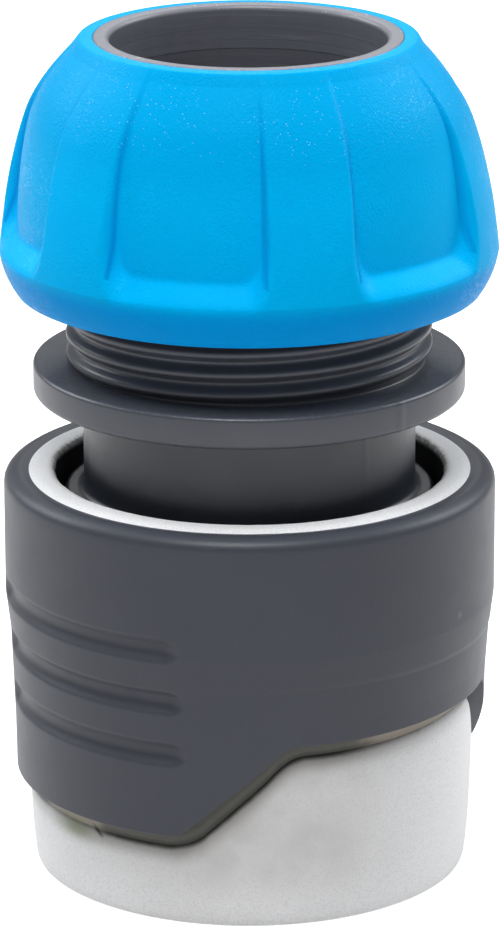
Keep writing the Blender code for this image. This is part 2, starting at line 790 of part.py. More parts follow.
clear_scene()
dark_grey = material("body_grey", (0.085, 0.088, 0.102), 0.42)
nut_grey = material("nut_grey", (0.16, 0.16, 0.18), 0.45)
soft_grey = material("sleeve_soft_grey", (0.09, 0.092, 0.105), 0.62)
soft_blue = material("nut_soft_blue", (0.0, 0.36, 0.76), 0.5)
white = material("shell_white", (0.72, 0.73, 0.76), 0.38)
seal_black = material("seal_black", (0.02, 0.02, 0.02), 0.7)
steel = material("spring_steel", (0.6, 0.6, 0.6), 0.3, 1.0)
claw_white = material("claw_white", (0.75, 0.74, 0.7), 0.4)

make_main_body(dark_grey)
make_mouth_ring(dark_grey)
make_hose_tail(dark_grey)
make_tail_seal(seal_black)
make_return_spring(steel)
make_sleeve_shell(white)
make_sleeve_grip(soft_grey)
claw_places = zip(("front", "right", "back", "left"), spread(CLAW_COUNT))
for place, angle in claw_places:
    make_claw("claw_" + place, angle, claw_white)
make_nut_core(nut_grey)
make_nut_grip(soft_blue)
make_clamp_collet(nut_grey)
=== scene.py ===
"""Garden hose quick connector on a pale floor, seen from a little above.

The front is -Y. Sizes are in millimetres and angles in degrees, counted from
the front towards +X, unless a name says otherwise.
"""
import functools
import math

import bmesh
import bpy
from mathutils import Matrix, Vector, noise


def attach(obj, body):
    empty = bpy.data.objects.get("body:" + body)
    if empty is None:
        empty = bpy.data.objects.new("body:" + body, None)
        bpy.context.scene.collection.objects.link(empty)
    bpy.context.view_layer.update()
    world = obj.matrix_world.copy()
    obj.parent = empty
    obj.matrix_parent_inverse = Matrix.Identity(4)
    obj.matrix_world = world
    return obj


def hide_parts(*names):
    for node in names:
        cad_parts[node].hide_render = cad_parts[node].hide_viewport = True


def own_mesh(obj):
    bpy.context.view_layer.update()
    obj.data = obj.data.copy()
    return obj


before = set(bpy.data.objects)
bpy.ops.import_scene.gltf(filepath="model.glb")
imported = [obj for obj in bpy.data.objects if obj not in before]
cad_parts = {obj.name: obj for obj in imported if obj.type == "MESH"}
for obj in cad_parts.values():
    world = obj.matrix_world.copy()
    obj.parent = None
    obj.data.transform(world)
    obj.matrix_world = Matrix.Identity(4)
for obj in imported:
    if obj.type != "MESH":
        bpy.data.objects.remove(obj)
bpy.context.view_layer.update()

# Main body
# The main body is one moulding in slate grey plastic: plug socket, shoulder,
# neck, flange and threaded collar. It came out of a two-part mould, which left
# a fine seam down both sides, and it has the satin skin of moulded nylon.
MM = 0.001
FINE_SIDES = 360
FILLET_TURN = 15
SHARP_EDGE = 40
# Points this near a surface count as on it, and the soft skins lie this far off
# the hard plastic or lap it.
HAIR = 0.01


def point(radius, degrees, height):
    angle = math.radians(degrees)
    return Vector((radius * math.sin(angle), -radius * math.cos(angle), height)) * MM


def eased(share):
    """0 below 0 and 1 above 1, with a soft start and end between them."""
    share = min(1.0, max(0.0, share))
    return share * share * (3 - 2 * share)


def rounded(corners):
    """Outline through (radius, height) corners. A third number on a corner is
    its fillet radius, drawn as an arc with a point every FILLET_TURN degrees."""
    points = []
    for index, corner in enumerate(corners):
        here = Vector(corner[:2])
        if len(corner) == 2:
            points.append(here)
            continue
        to_last = Vector(corners[index - 1][:2]) - here
        to_next = Vector(corners[(index + 1) % len(corners)][:2]) - here
        opening = to_last.angle(to_next)
        reach = min(corner[2] / math.tan(opening / 2), to_last.length / 2.01, to_next.length / 2.01)
        fillet = reach * math.tan(opening / 2)
        bisector = (to_last.normalized() + to_next.normalized()).normalized()
        centre = here + bisector * fillet / math.sin(opening / 2)
        start = here + to_last.normalized() * reach - centre
        sweep = math.pi - opening
        side = 1 if to_last.cross(to_next) < 0 else -1
        steps = max(2, round(math.degrees(sweep) / FILLET_TURN))
        for step in range(steps + 1):
            points.append(centre + Matrix.Rotation(side * sweep * step / steps, 2) @ start)
    return points


def rows(first, last, count, bulge=0.0):
    """Points between two outline points, without them, bowed out by bulge."""
    start, end = Vector(first), Vector(last)
    outward = Vector((end.y - start.y, start.x - end.x)).normalized()
    if outward.x < 0:
        outward = -outward
    shares = [step / count for step in range(1, count)]
    return [tuple(start.lerp(end, share) + outward * 4 * bulge * share * (1 - share)) for share in shares]


def spun(outline, sides=FINE_SIDES, span=360, centre=0):
    """Outline turned round the axis, in full or over a span of degrees. A
    full turn is made of equal slices, since long spins are slow."""
    bm = bmesh.new()
    whole = span == 360
    slices = math.gcd(sides, 12) if whole else 1
    first = centre if whole else centre - span / 2
    verts = [bm.verts.new(point(radius, first, height)) for radius, height in outline]
    if whole:
        geometry = verts + [bm.edges.new((verts[i - 1], verts[i])) for i in range(len(verts))]
    else:
        geometry = [bm.faces.new(verts)]
    turn = math.radians(span / slices)
    bmesh.ops.spin(bm, geom=geometry, cent=(0, 0, 0), axis=(0, 0, 1), angle=turn, steps=sides // slices)
    slice_geometry = bm.verts[:] + bm.edges[:] + bm.faces[:]
    for index in range(1, slices):
        copied = bmesh.ops.duplicate(bm, geom=slice_geometry)["geom"]
        turn = Matrix.Rotation(math.tau * index / slices, 3, "Z")
        copied_verts = [item for item in copied if isinstance(item, bmesh.types.BMVert)]
        bmesh.ops.rotate(bm, matrix=turn, verts=copied_verts)
    bmesh.ops.remove_doubles(bm, verts=bm.verts[:], dist=0.0005 * MM)
    bmesh.ops.recalc_face_normals(bm, faces=bm.faces)
    return bm


def measured(vert):
    """Radius, angle and height of a point."""
    degrees = math.degrees(math.atan2(vert.co.x, -vert.co.y))
    return math.hypot(vert.co.x, vert.co.y) / MM, degrees, vert.co.z / MM


def reshape(bm, rule):
    """Moves each point to the (radius, height) that the rule gives for its
    radius, angle and height."""
    for vert in bm.verts:
        radius, degrees, height = measured(vert)
        new_radius, new_height = rule(radius, round(degrees, 4), height)
        vert.co = point(new_radius, degrees, new_height)


def block(bm, place, size):
    """Block of a size that faces outwards at a (radius, angle, height)."""
    turned = Matrix.Translation(point(*place)) @ Matrix.Rotation(math.radians(place[1]), 4, "Z")
    return bmesh.ops.create_cube(bm, size=MM, matrix=turned @ Matrix.Diagonal((*size, 1)))


def smooth(mesh, sharp=SHARP_EDGE):
    """Shades a mesh smooth apart from edges sharper than an angle."""
    mesh.shade_smooth()
    mesh.set_sharp_from_angle(angle=math.radians(sharp))


def placed(name, data):
    """New object of some data, in the scene."""
    made = bpy.data.objects.new(name, data)
    bpy.context.scene.collection.objects.link(made)
    return made


def shaped(name, bm, sharp=SHARP_EDGE):
    """Object of a bmesh, shaded smooth."""
    mesh = bpy.data.meshes.new(name)
    bm.to_mesh(mesh)
    bm.free()
    smooth(mesh, sharp)
    return placed(name, mesh)


def cut(target, bm, operation="DIFFERENCE"):
    """Cuts a shape out of the target, or joins it on, for good."""
    tool = shaped("cutting_tool", bm)
    step = target.modifiers.new("cut", "BOOLEAN")
    step.operation = operation
    step.solver = "EXACT"
    step.object = tool
    evaluated = target.evaluated_get(bpy.context.evaluated_depsgraph_get())
    target.data = bpy.data.meshes.new_from_object(evaluated)
    target.data.name = target.name
    target.modifiers.clear()
    smooth(target.data)
    bpy.data.objects.remove(tool, do_unlink=True)


def fitted(obj, finish, body, slot, *nodes):
    """Gives the piece its finish and puts it on its body in place of nodes."""
    obj.data.materials.clear()
    obj.data.materials.append(finish)
    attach(obj, body)
    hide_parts(*nodes)


class Value:
    """A number that changes over a surface. Sums on it become Math nodes."""

    def __init__(self, tree, socket):
        self.tree = tree
        self.socket = socket

    def sum(self, operation, *numbers):
        node = self.tree.nodes.new("ShaderNodeMath")
        node.operation = operation
        for socket, number in zip(node.inputs, numbers):
            if isinstance(number, Value):
                self.tree.links.new(number.socket, socket)
            else:
                socket.default_value = number
        return Value(self.tree, node.outputs[0])

    def __add__(self, other):
        return self.sum("ADD", self, other)

    def __sub__(self, other):
        return self.sum("SUBTRACT", self, other)

    def __rsub__(self, other):
        return self.sum("SUBTRACT", other, self)

    def __mul__(self, other):
        return self.sum("MULTIPLY", self, other)

    def __gt__(self, other):
        return self.sum("GREATER_THAN", self, other)


class Finish:
    """A material in the making, and any node for it by type."""

    def __init__(self, name, constants):
        self.material = bpy.data.materials.new(name)
        self.material.use_nodes = True
        self.tree = self.material.node_tree
        self.shader = self.tree.nodes["Principled BSDF"]
        for socket, value in constants.items():
            self.shader.inputs[socket].default_value = value
        self.place = self.node("TexCoord", {}, {}, "Object")

    def node(self, kind, settings, sockets, output=0):
        made = self.tree.nodes.new("ShaderNode" + kind)
        for name, value in settings.items():
            setattr(made, name, value)
        for name, value in sockets.items():
            self.feed(made.inputs[name], value)
        return Value(self.tree, made.outputs[output])

    def feed(self, socket, value):
        if isinstance(value, Value):
            self.tree.links.new(value.socket, socket)
        else:
            socket.default_value = value

    def clouds(self, size, detail=2.0, stretch=(1, 1, 1)):
        """Noise from 0 to 1 with patches of a size, longer where stretched."""
        scale = [1 / (size * MM * length) for length in stretch]
        place = self.node("Mapping", {}, {"Vector": self.place, "Scale": scale})
        return self.node("TexNoise", {}, {"Vector": place, "Scale": 1.0, "Detail": detail})

    def ramp(self, value, low, high):
        """0 where the value is low, 1 where it is high, clamped."""
        numbers = {"Value": value, "From Min": low, "From Max": high}
        return self.node("MapRange", {"interpolation_type": "SMOOTHSTEP"}, numbers)

    def above(self, low, high):
        """0 below the low height and 1 above the high one, both in mm."""
        height = self.node("SeparateXYZ", {}, {"Vector": self.place}, "Z")
        return self.ramp(height, low * MM, high * MM)

    def mix(self, factor, first, second):
        colours = {6: first if isinstance(first, Value) else (*first, 1)}
        colours[7] = second if isinstance(second, Value) else (*second, 1)
        return self.node("Mix", {"data_type": "RGBA"}, {0: factor, **colours}, 2)

    def specks(self, size, share, seed=0.0):
        """Small spots, in a share of the cells of a grid of that size."""
        scale = [1 / (size * MM)] * 3
        shift = (seed, seed, seed)
        place = self.node("Mapping", {}, {"Vector": self.place, "Scale": scale, "Location": shift})
        cells = {"Vector": place, "Scale": 1.0}
        distance = self.node("TexVoronoi", {}, cells, "Distance")
        cell = self.node("TexVoronoi", {}, cells, "Color")
        chosen = self.node("SeparateColor", {}, {"Color": cell}) > 1 - share
        return self.ramp(distance, 0.16, 0.07) * chosen

    def number(self, name):
        """A number that the mesh stores at its points."""
        return self.node("Attribute", {"attribute_name": name}, {}, "Fac")

    def bump(self, height, depth, normal=None):
        """Normal of a surface whose height, from 0 to 1, is a depth in mm."""
        sockets = {"Height": height, "Distance": depth * MM, "Strength": 1.0}
        if normal:
            sockets["Normal"] = normal
        return self.node("Bump", {}, sockets)

    def set(self, **values):
        for name, value in values.items():
            self.feed(self.shader.inputs[name.replace("_", " ")], value)


def linear(red, green, blue):
    """Shader colour of a colour given as 0 to 255, as it looks."""
    return tuple(((c / 255 + 0.055) / 1.055) ** 2.4 if c > 10 else c / 3294.6 for c in (red, green, blue))


COLLAR_ROOT = 13.22
COLLAR_TOP = 50.0
FLANGE_TOP = 39.65
FLANGE_RADIUS = 16.35
FLANGE_BOTTOM = 37.2
NECK_RADIUS = 12.6
SHOULDER_RADIUS = 14.1
SHOULDER_TOP = 29.65
SHOULDER_BOTTOM = 26.5
SOCKET_RADIUS = 10.9
SOCKET_END = 2.6
PLUG_BORE = 8.7
SEAL_BORE = 8.0
SEAL_BORE_BOTTOM = 17.0
SEAL_BORE_LEAD = 0.7
WEB_BOTTOM = 26.8
WEB_TOP = 31.0
TAIL_HOLE = 6.9
HOSE_ROOM = 10.3
CONE_BOTTOM = 40.0
CONE_TOP_RADIUS = 11.9


def slate_plastic():
    """Moulded plastic: faint flow clouds, painted shade on the neck, a fine satin skin,
    hairline scuffs, the odd speck of dust, and painted light on the flange's top."""
    finish = Finish("slate_plastic", {"IOR": 1.49, "Specular IOR Level": 0.6})
    flow = finish.clouds(9, 3, (1, 1, 0.6)) * 0.65 + finish.clouds(1.4, 3) * 0.35
    tone = finish.mix(finish.ramp(flow, 0.32, 0.68), linear(65, 68, 77), linear(69, 72, 81))
    # Painted shade: the neck under the flange is darker.
    neck_shade = finish.above(SHOULDER_TOP - 1.5, SHOULDER_TOP)
    neck_shade = neck_shade * (1 - finish.above(FLANGE_BOTTOM - 0.2, FLANGE_BOTTOM + 0.3))
    tone = finish.mix(neck_shade * 0.9, tone, linear(44, 49, 57))
    scuff = finish.ramp(finish.clouds(0.16, 2, (9, 9, 1)), 0.66, 0.74)
    marks = scuff * finish.ramp(finish.clouds(7, 2), 0.5, 0.66) * 0.5
    tone = finish.mix(marks * 0.25, tone, linear(104, 107, 114))
    # Painted light: the flange's top face is lighter, in patches.
    lit_flange_top = finish.above(FLANGE_TOP - 0.3, FLANGE_TOP - 0.05)
    lit_flange_top = lit_flange_top * (1 - finish.above(FLANGE_TOP + 0.05, FLANGE_TOP + 0.2))
    top_light_patches = finish.ramp(finish.clouds(0.2, 2), 0.35, 0.7)
    tone = finish.mix(lit_flange_top * (top_light_patches * 0.4 + 0.1), tone, linear(108, 110, 117))
    tone = finish.mix(finish.specks(2.2, 0.03) * 0.3, tone, linear(150, 152, 152))
    skin = finish.clouds(0.11, 2) * 0.6 + finish.clouds(0.5, 2) * 0.4
    rough = finish.clouds(2.6, 3) * 0.14 + 0.29 + marks * 0.12
    finish.set(Base_Color=tone, Roughness=rough, Normal=finish.bump(skin - marks * 0.3, 0.012))
    return finish.material


slate = slate_plastic()

THREAD_DEPTH = 0.62
THREAD_PITCH = 1.55
THREAD_CREST = 0.22
THREAD_FLANK = 0.6
THREAD_FIRST = -122
THREAD_LAST = 2140
THREAD_RUN_OUT = 22
THREAD_AT_FRONT = 40.6


def thread_height(degrees, height):
    """How far the thread stands out, from 0 to 1. It climbs one pitch a turn
    to the right, and it starts and ends with a short run-out."""
    turns = (height - THREAD_AT_FRONT) / THREAD_PITCH - degrees / 360
    nearest = round(turns)
    off_crest = abs(turns - nearest) * THREAD_PITCH
    along = nearest * 360 + degrees
    tooth = 1 - eased((off_crest - THREAD_CREST / 2) / THREAD_FLANK)
    run_in = eased((along - THREAD_FIRST) / THREAD_RUN_OUT)
    run_out = eased((THREAD_LAST - along) / THREAD_RUN_OUT)
    return tooth * run_in * run_out


SEAM_ANGLES = (43, -137)
SEAM_WIDTH = 0.22
SEAM_HEIGHT = 0.07
SEAM_BOTTOM = 32


def seam(radius, degrees):
    """Height of the mould's seam, a soft line down two sides."""
    away = min(abs((degrees - angle + 180) % 360 - 180) for angle in SEAM_ANGLES)
    return SEAM_HEIGHT * math.exp(-((math.radians(away) * radius / SEAM_WIDTH) ** 2))


def body_form(radius, degrees, height):
    if abs(radius - COLLAR_ROOT) < HAIR and FLANGE_TOP < height < COLLAR_TOP - 0.4:
        return radius + THREAD_DEPTH * thread_height(degrees, height), height
    if radius > NECK_RADIUS - HAIR and SEAM_BOTTOM < height < FLANGE_TOP + HAIR:
        return radius + seam(radius, degrees), height
    return radius, height


body_outline = rounded([
    (COLLAR_ROOT, COLLAR_TOP, 0.35),
    *rows((COLLAR_ROOT, COLLAR_TOP - 0.4), (COLLAR_ROOT, FLANGE_TOP + 0.3), 90),
    (COLLAR_ROOT, FLANGE_TOP, 0.22),
    (FLANGE_RADIUS, FLANGE_TOP, 0.32),
    (FLANGE_RADIUS, FLANGE_BOTTOM, 0.5),
    (NECK_RADIUS, FLANGE_BOTTOM, 0.4),
    (NECK_RADIUS, SHOULDER_TOP, 0.6),
    (SHOULDER_RADIUS, SHOULDER_TOP, 0.45),
    (SHOULDER_RADIUS, SHOULDER_BOTTOM, 0.2),
    (SOCKET_RADIUS, SHOULDER_BOTTOM, 0.3),
    (SOCKET_RADIUS, SOCKET_END, 0.15),
    (PLUG_BORE, SOCKET_END, 0.3),
    (PLUG_BORE, SEAL_BORE_BOTTOM, 0.2),
    (SEAL_BORE, SEAL_BORE_BOTTOM + SEAL_BORE_LEAD, 0.2),
    (SEAL_BORE, WEB_BOTTOM, 0.2),
    (TAIL_HOLE, WEB_BOTTOM),
    (TAIL_HOLE, WEB_TOP, 0.2),
    (HOSE_ROOM, WEB_TOP, 0.8),
    (HOSE_ROOM, CONE_BOTTOM, 4.0),
    (CONE_TOP_RADIUS, COLLAR_TOP, 0.3),
])
bm = spun(body_outline)
reshape(bm, body_form)
main_body = shaped("body_moulding", bm)

CLAWS = {"front": 0, "right": 90, "back": 180, "left": -90}
CLAW_LOW = 6.5
CLAW_HIGH = 10.6
CLAW_SPAN = 34
WINDOW_SPAN = 38
WINDOW_INNER = 7.4
WINDOW_OUTER = 12.0
WINDOW_LOW = CLAW_LOW - 0.3
WINDOW_HIGH = CLAW_HIGH + 0.3
WINDOW_TURN = 0.3
window_outline = [
    (WINDOW_INNER, WINDOW_LOW),
    (WINDOW_OUTER, WINDOW_LOW),
    (WINDOW_OUTER, WINDOW_HIGH),
    (WINDOW_INNER, WINDOW_HIGH),
]
windows = bmesh.new()
for angle in CLAWS.values():
    window = bpy.data.meshes.new("window")
    spun(window_outline, 11, WINDOW_SPAN, angle + WINDOW_TURN).to_mesh(window)
    windows.from_mesh(window)
    bpy.data.meshes.remove(window)
cut(main_body, windows)

# Two keys in the collar stand in slots of the collet and keep it from turning.
KEY_ANGLES = (30, 210)
KEY_WIDTH = 1.4
KEY_INNER = 9.7
KEY_OUTER = 12.2
KEY_MIDDLE = 45
KEY_LENGTH = 9.2
KEY_EDGE = 0.15
bm = bmesh.new()
bm.from_mesh(main_body.data)
for degrees in KEY_ANGLES:
    place = ((KEY_INNER + KEY_OUTER) / 2, degrees, KEY_MIDDLE)
    key = block(bm, place, (KEY_WIDTH, KEY_OUTER - KEY_INNER, KEY_LENGTH))
    key_edges = list({edge for vert in key["verts"] for edge in vert.link_edges})
    bmesh.ops.bevel(
        bm, geom=key_edges, offset=KEY_EDGE * MM, affect="EDGES", segments=2, profile=0.5, material=-1
    )
bm.to_mesh(main_body.data)
bm.free()
smooth(main_body.data)
fitted(main_body, slate, "body", "body", "main_body")

# Hose tail and its seal
# The hose is pushed over the tail, a barbed tube in the same grey plastic. It
# is pressed in from below, up to its flange, and a black rubber O-ring over
# the flange keeps the joint dry.
TAIL_RADIUS = 6.6
TAIL_BORE = 5.0
TAIL_TOP = 58.5
TAIL_FLANGE = 7.7
TAIL_BOTTOM = 23.6
TAIL_FLANGE_TOP = 25.4
BARB_FIRST = 1.6
BARB_COUNT = 5
BARB_PITCH = 4.4
BARB_HEIGHT = 0.6

corners = [(TAIL_BORE + 0.5, TAIL_TOP, 0.3), (TAIL_RADIUS - BARB_HEIGHT, TAIL_TOP, 0.4)]
for index in range(BARB_COUNT):
    barb = TAIL_TOP - BARB_FIRST - index * BARB_PITCH
    corners += [(TAIL_RADIUS, barb, 0.12), (TAIL_RADIUS - BARB_HEIGHT, barb - BARB_HEIGHT / 2, 0.15)]
corners += [
    (TAIL_RADIUS, corners[-1][1] - BARB_PITCH / 2, 0.5),
    (TAIL_RADIUS, TAIL_FLANGE_TOP, 0.2),
    (TAIL_FLANGE, TAIL_FLANGE_TOP, 0.15),
    (TAIL_FLANGE, TAIL_BOTTOM, 0.4),
    (TAIL_BORE, TAIL_BOTTOM, 0.8),
    (TAIL_BORE, TAIL_TOP - 0.6, 0.3),
]
hose_tail = shaped("barbed_tail", spun(rounded(corners), 128))
fitted(hose_tail, slate, "body", "body", "hose_tail")

SEAL_MIDDLE = 7.3
SEAL_CORD = 0.55
SEAL_POINTS = 24
seal_height = (TAIL_FLANGE_TOP + WEB_BOTTOM) / 2
ring = []
for index in range(SEAL_POINTS):
    angle = index * math.tau / SEAL_POINTS
    ring.append((SEAL_MIDDLE + SEAL_CORD * math.cos(angle), seal_height + SEAL_CORD * math.sin(angle)))
rubber = Finish("seal_rubber", {"IOR": 1.5, "Specular IOR Level": 0.4})
bloom = rubber.ramp(rubber.clouds(1.2, 3), 0.4, 0.7)
rubber.set(
    Base_Color=rubber.mix(bloom, (0.012, 0.012, 0.012), (0.03, 0.03, 0.03)),
    Roughness=bloom * 0.2 + 0.45,
    Normal=rubber.bump(rubber.clouds(0.08), 0.01),
)
tail_seal = shaped("seal_ring", spun(ring, 128))
fitted(tail_seal, rubber.material, "body", "seal", "tail_seal")

# Mouth ring
# A flat ring with a collar is snapped on the socket's mouth. It guides the
# plug, stops the sleeve and is the same grey plastic as the body. A shallow
# groove runs round its flat face.
MOUTH_BOTTOM = 0.4
MOUTH_FLANGE_TOP = 2.3
MOUTH_FLANGE = 14.88
MOUTH_COLLAR_INNER = 11.2
MOUTH_COLLAR_OUTER = 12.2
MOUTH_COLLAR_TOP = 4.6
MOUTH_GROOVE_INNER = 12.3
MOUTH_GROOVE_OUTER = 12.9
MOUTH_GROOVE_SIDE = 0.15
MOUTH_GROOVE_DEPTH = 0.25
groove_floor = MOUTH_BOTTOM + MOUTH_GROOVE_DEPTH
mouth_outline = rounded([
    (MOUTH_COLLAR_OUTER, MOUTH_COLLAR_TOP, 0.3),
    (MOUTH_COLLAR_OUTER, MOUTH_FLANGE_TOP, 0.2),
    (MOUTH_FLANGE, MOUTH_FLANGE_TOP, 0.2),
    (MOUTH_FLANGE, MOUTH_BOTTOM, 0.5),
    (MOUTH_GROOVE_OUTER, MOUTH_BOTTOM, 0.15),
    (MOUTH_GROOVE_OUTER - MOUTH_GROOVE_SIDE, groove_floor, 0.1),
    (MOUTH_GROOVE_INNER + MOUTH_GROOVE_SIDE, groove_floor, 0.1),
    (MOUTH_GROOVE_INNER, MOUTH_BOTTOM, 0.15),
    (PLUG_BORE, MOUTH_BOTTOM, 0.8),
    (PLUG_BORE, MOUTH_FLANGE_TOP, 0.1),
    (MOUTH_COLLAR_INNER, MOUTH_FLANGE_TOP),
    (MOUTH_COLLAR_INNER, MOUTH_COLLAR_TOP, 0.15),
])
mouth_ring = shaped("socket_mouth_ring", spun(mouth_outline, 240))
fitted(mouth_ring, slate, "body", "body", "mouth_ring")

# Return spring
# Five turns of drawn stainless wire stand between the sleeve's ledge and the
# body's shoulder. It is wound with closed ends. The real one shortens as the
# sleeve goes up; this one keeps one length.
SPRING_LOW = 13.8
SPRING_HIGH = 26.2
SPRING_WIRE = 1.1
SPRING_TURNS = 5
SPRING_RADIUS = 12.83
CLOSED_RISE = 1.19
STEPS_PER_TURN = 48
open_rise = (SPRING_HIGH - SPRING_LOW - SPRING_WIRE - 2 * CLOSED_RISE) / (SPRING_TURNS - 2)
curve = bpy.data.curves.new("spring_wire", "CURVE")
curve.dimensions = "3D"
curve.bevel_depth = SPRING_WIRE / 2 * MM
curve.bevel_resolution = 4
curve.use_fill_caps = True
spline = curve.splines.new("POLY")
spline.points.add(SPRING_TURNS * STEPS_PER_TURN)
for index, knot in enumerate(spline.points):
    turn = index / STEPS_PER_TURN
    open_turns = min(max(turn - 1, 0), SPRING_TURNS - 2)
    rise = CLOSED_RISE * (turn - open_turns) + open_rise * open_turns
    knot.co = (*point(SPRING_RADIUS, 360 * turn, SPRING_LOW + SPRING_WIRE / 2 + rise), 1)
wire = placed("spring_wire", curve)
wire_mesh = bpy.data.meshes.new_from_object(wire.evaluated_get(bpy.context.evaluated_depsgraph_get()))
bpy.data.objects.remove(wire, do_unlink=True)
return_spring = placed("coil_spring", wire_mesh)
wire_mesh.shade_smooth()
steel = Finish("drawn_wire", {"Metallic": 1.0, "IOR": 2.0})
drawn = steel.clouds(0.12, 2, (8, 8, 1))
steel.set(
    Base_Color=steel.mix(steel.ramp(drawn, 0.3, 0.7), (0.42, 0.42, 0.43), (0.62, 0.62, 0.62)),
    Roughness=drawn * 0.2 + 0.2,
    Normal=steel.bump(drawn, 0.006),
)
fitted(return_spring, steel.material, "body", "spring", "return_spring")
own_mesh(return_spring)

# Sleeve shell
# The hard shell of the sleeve is off-white plastic. Its rim shows at the top,
# with the slightly uneven edge of the moulding, and its bare base stands out
# below the grip, past a narrow step where grime from handling has settled
# and shade is painted in.
SHELL_SIDES = 480
SLEEVE_TOP = 31.0
RIM_INNER = 14.8
RIM_OUTER = 16.81
RIM_CROWN = 0.2
SHELL_OUTER = 16.72
WAVE = ((-17.4, 7.38), (9.3, 14.66), (58.0, 14.9), (80.5, 14.9), (105.4, 7.38))
WAVE_LOW = WAVE[0][1]
WAVE_HIGH = WAVE[2][1]
EDGE_REACH = (0.9, 2.4)
STEP_REACH = (4.4, 4.2)
STRETCH_LOW = 1.2
STRETCH_HIGH = 4.4


def between_stops(stops, place):
    """Value at a place, on straight lines through (place, value) stops."""
    for (low, first), (high, second) in zip(stops, stops[1:]):
        if place <= high:
            return first + (second - first) * max(0.0, place - low) / (high - low)
    return stops[-1][1]


@functools.cache
def wave(degrees, reach=EDGE_REACH):
    """Height of the grip's lower edge, with its low and high corners rounded
    over a reach of degrees each."""
    degrees = (degrees + 180) % 360 - 180
    share = (between_stops(WAVE, degrees) - WAVE_LOW) / (WAVE_HIGH - WAVE_LOW)
    soft = reach[0] + (reach[1] - reach[0]) * share
    return sum(between_stops(WAVE, degrees + soft * step / 4) for step in range(-4, 5)) / 9


@functools.cache
def slope_factor(degrees):
    """How much a step square to the edge grows when it is measured upright."""
    rise = (wave(degrees + 1, STEP_REACH) - wave(degrees - 1, STEP_REACH)) / (2 * math.radians(SHELL_OUTER))
    return math.hypot(1, rise)


BASE_WALL = (
    (0.0, 16.5), (0.3, 16.6), (1.5, 16.74), (2.8, 16.85),
    (4.2, 16.93), (6.0, 17.0), (8.0, 17.08), (15.0, 17.1),
)
STEP_WIDTH = 1.22
STEP_ROUNDING = 1.25
RIM_SLOPE = 0.7
CROWN_EDGE = 0.5
UNEVEN_INWARD = 0.12
UNEVEN_UPWARD = 0.02


def edge_drop(degrees, height):
    """Distance below the grip's edge, square to it."""
    return (wave(degrees, STEP_REACH) - height) / slope_factor(degrees)


def shell_form(radius, degrees, height):
    if radius > SHELL_OUTER - HAIR and height < WAVE_LOW + 0.6:
        edge = wave(degrees, STEP_REACH)
        slope = slope_factor(degrees)
        moved = edge - (WAVE_LOW - height) * slope
        if height < STRETCH_HIGH:
            share = max(0.0, (height - STRETCH_LOW) / (STRETCH_HIGH - STRETCH_LOW))
            top = edge - (WAVE_LOW - STRETCH_HIGH) * slope
            moved = min(height, STRETCH_LOW) + (top - STRETCH_LOW) * share
        share = min(1.0, max(0.0, (edge_drop(degrees, moved) - STEP_WIDTH) / STEP_ROUNDING))
        standing = math.sqrt(1 - (1 - share) ** 2)
        return SHELL_OUTER + (between_stops(BASE_WALL, moved) - SHELL_OUTER) * standing, moved
    if height > SLEEVE_TOP - 0.5:
        turn = math.radians(degrees)
        uneven = noise.noise(Vector((3 * math.cos(turn), 3 * math.sin(turn), 4.0)))
        uneven += 0.5 * noise.noise(Vector((11 * math.cos(turn), 11 * math.sin(turn), 1.0)))
        inner_share = eased((RIM_INNER + RIM_SLOPE - radius) / RIM_SLOPE)
        crown = RIM_CROWN * eased((radius - RIM_INNER + 0.1) / CROWN_EDGE)
        crown *= eased((RIM_OUTER - radius) / CROWN_EDGE)
        radius += UNEVEN_INWARD * uneven * inner_share
        return radius, height + UNEVEN_UPWARD * uneven * inner_share + crown
    return radius, height


CAM_TOP = (11.25, 11.7)
CAM_BOTTOM = (14.283, 2.6)
LEDGE = 13.5
POCKET = 15.18
SPRING_ROOM = 14.75
SPRING_ROOM_TOP = 29.9
BASE_FOOT = ((16.52, 0.12), (16.3, 0.0))
shell_outline = rounded([
    (RIM_OUTER, SLEEVE_TOP),
    (RIM_OUTER, SLEEVE_TOP - 0.3),
    (SHELL_OUTER, SLEEVE_TOP - 0.6),
    (SHELL_OUTER, WAVE_LOW + 0.5),
    *rows((SHELL_OUTER, WAVE_LOW + 0.5), (SHELL_OUTER, STRETCH_HIGH), 52),
    (SHELL_OUTER, STRETCH_HIGH),
    *rows((SHELL_OUTER, STRETCH_HIGH), (SHELL_OUTER, STRETCH_LOW), 14),
    (SHELL_OUTER, STRETCH_LOW),
    (SHELL_OUTER, 0.8),
    (SHELL_OUTER, 0.35),
    *BASE_FOOT,
    (POCKET + 0.2, 0.0),
    (POCKET, 0.2),
    (POCKET, CAM_BOTTOM[1], 0.2),
    CAM_BOTTOM,
    CAM_TOP,
    (CAM_TOP[0], LEDGE, 0.2),
    (SPRING_ROOM, LEDGE, 0.4),
    (SPRING_ROOM, SPRING_ROOM_TOP),
    *rows((SPRING_ROOM, SPRING_ROOM_TOP), (RIM_INNER, SLEEVE_TOP - 0.3), 6),
    (RIM_INNER, SLEEVE_TOP, 0.22),
    *rows((RIM_INNER + 0.25, SLEEVE_TOP), (RIM_OUTER - 0.1, SLEEVE_TOP), 6),
])
bm = spun(shell_outline, SHELL_SIDES)
reshape(bm, shell_form)
sleeve_shell = shaped("sleeve_hard_shell", bm)

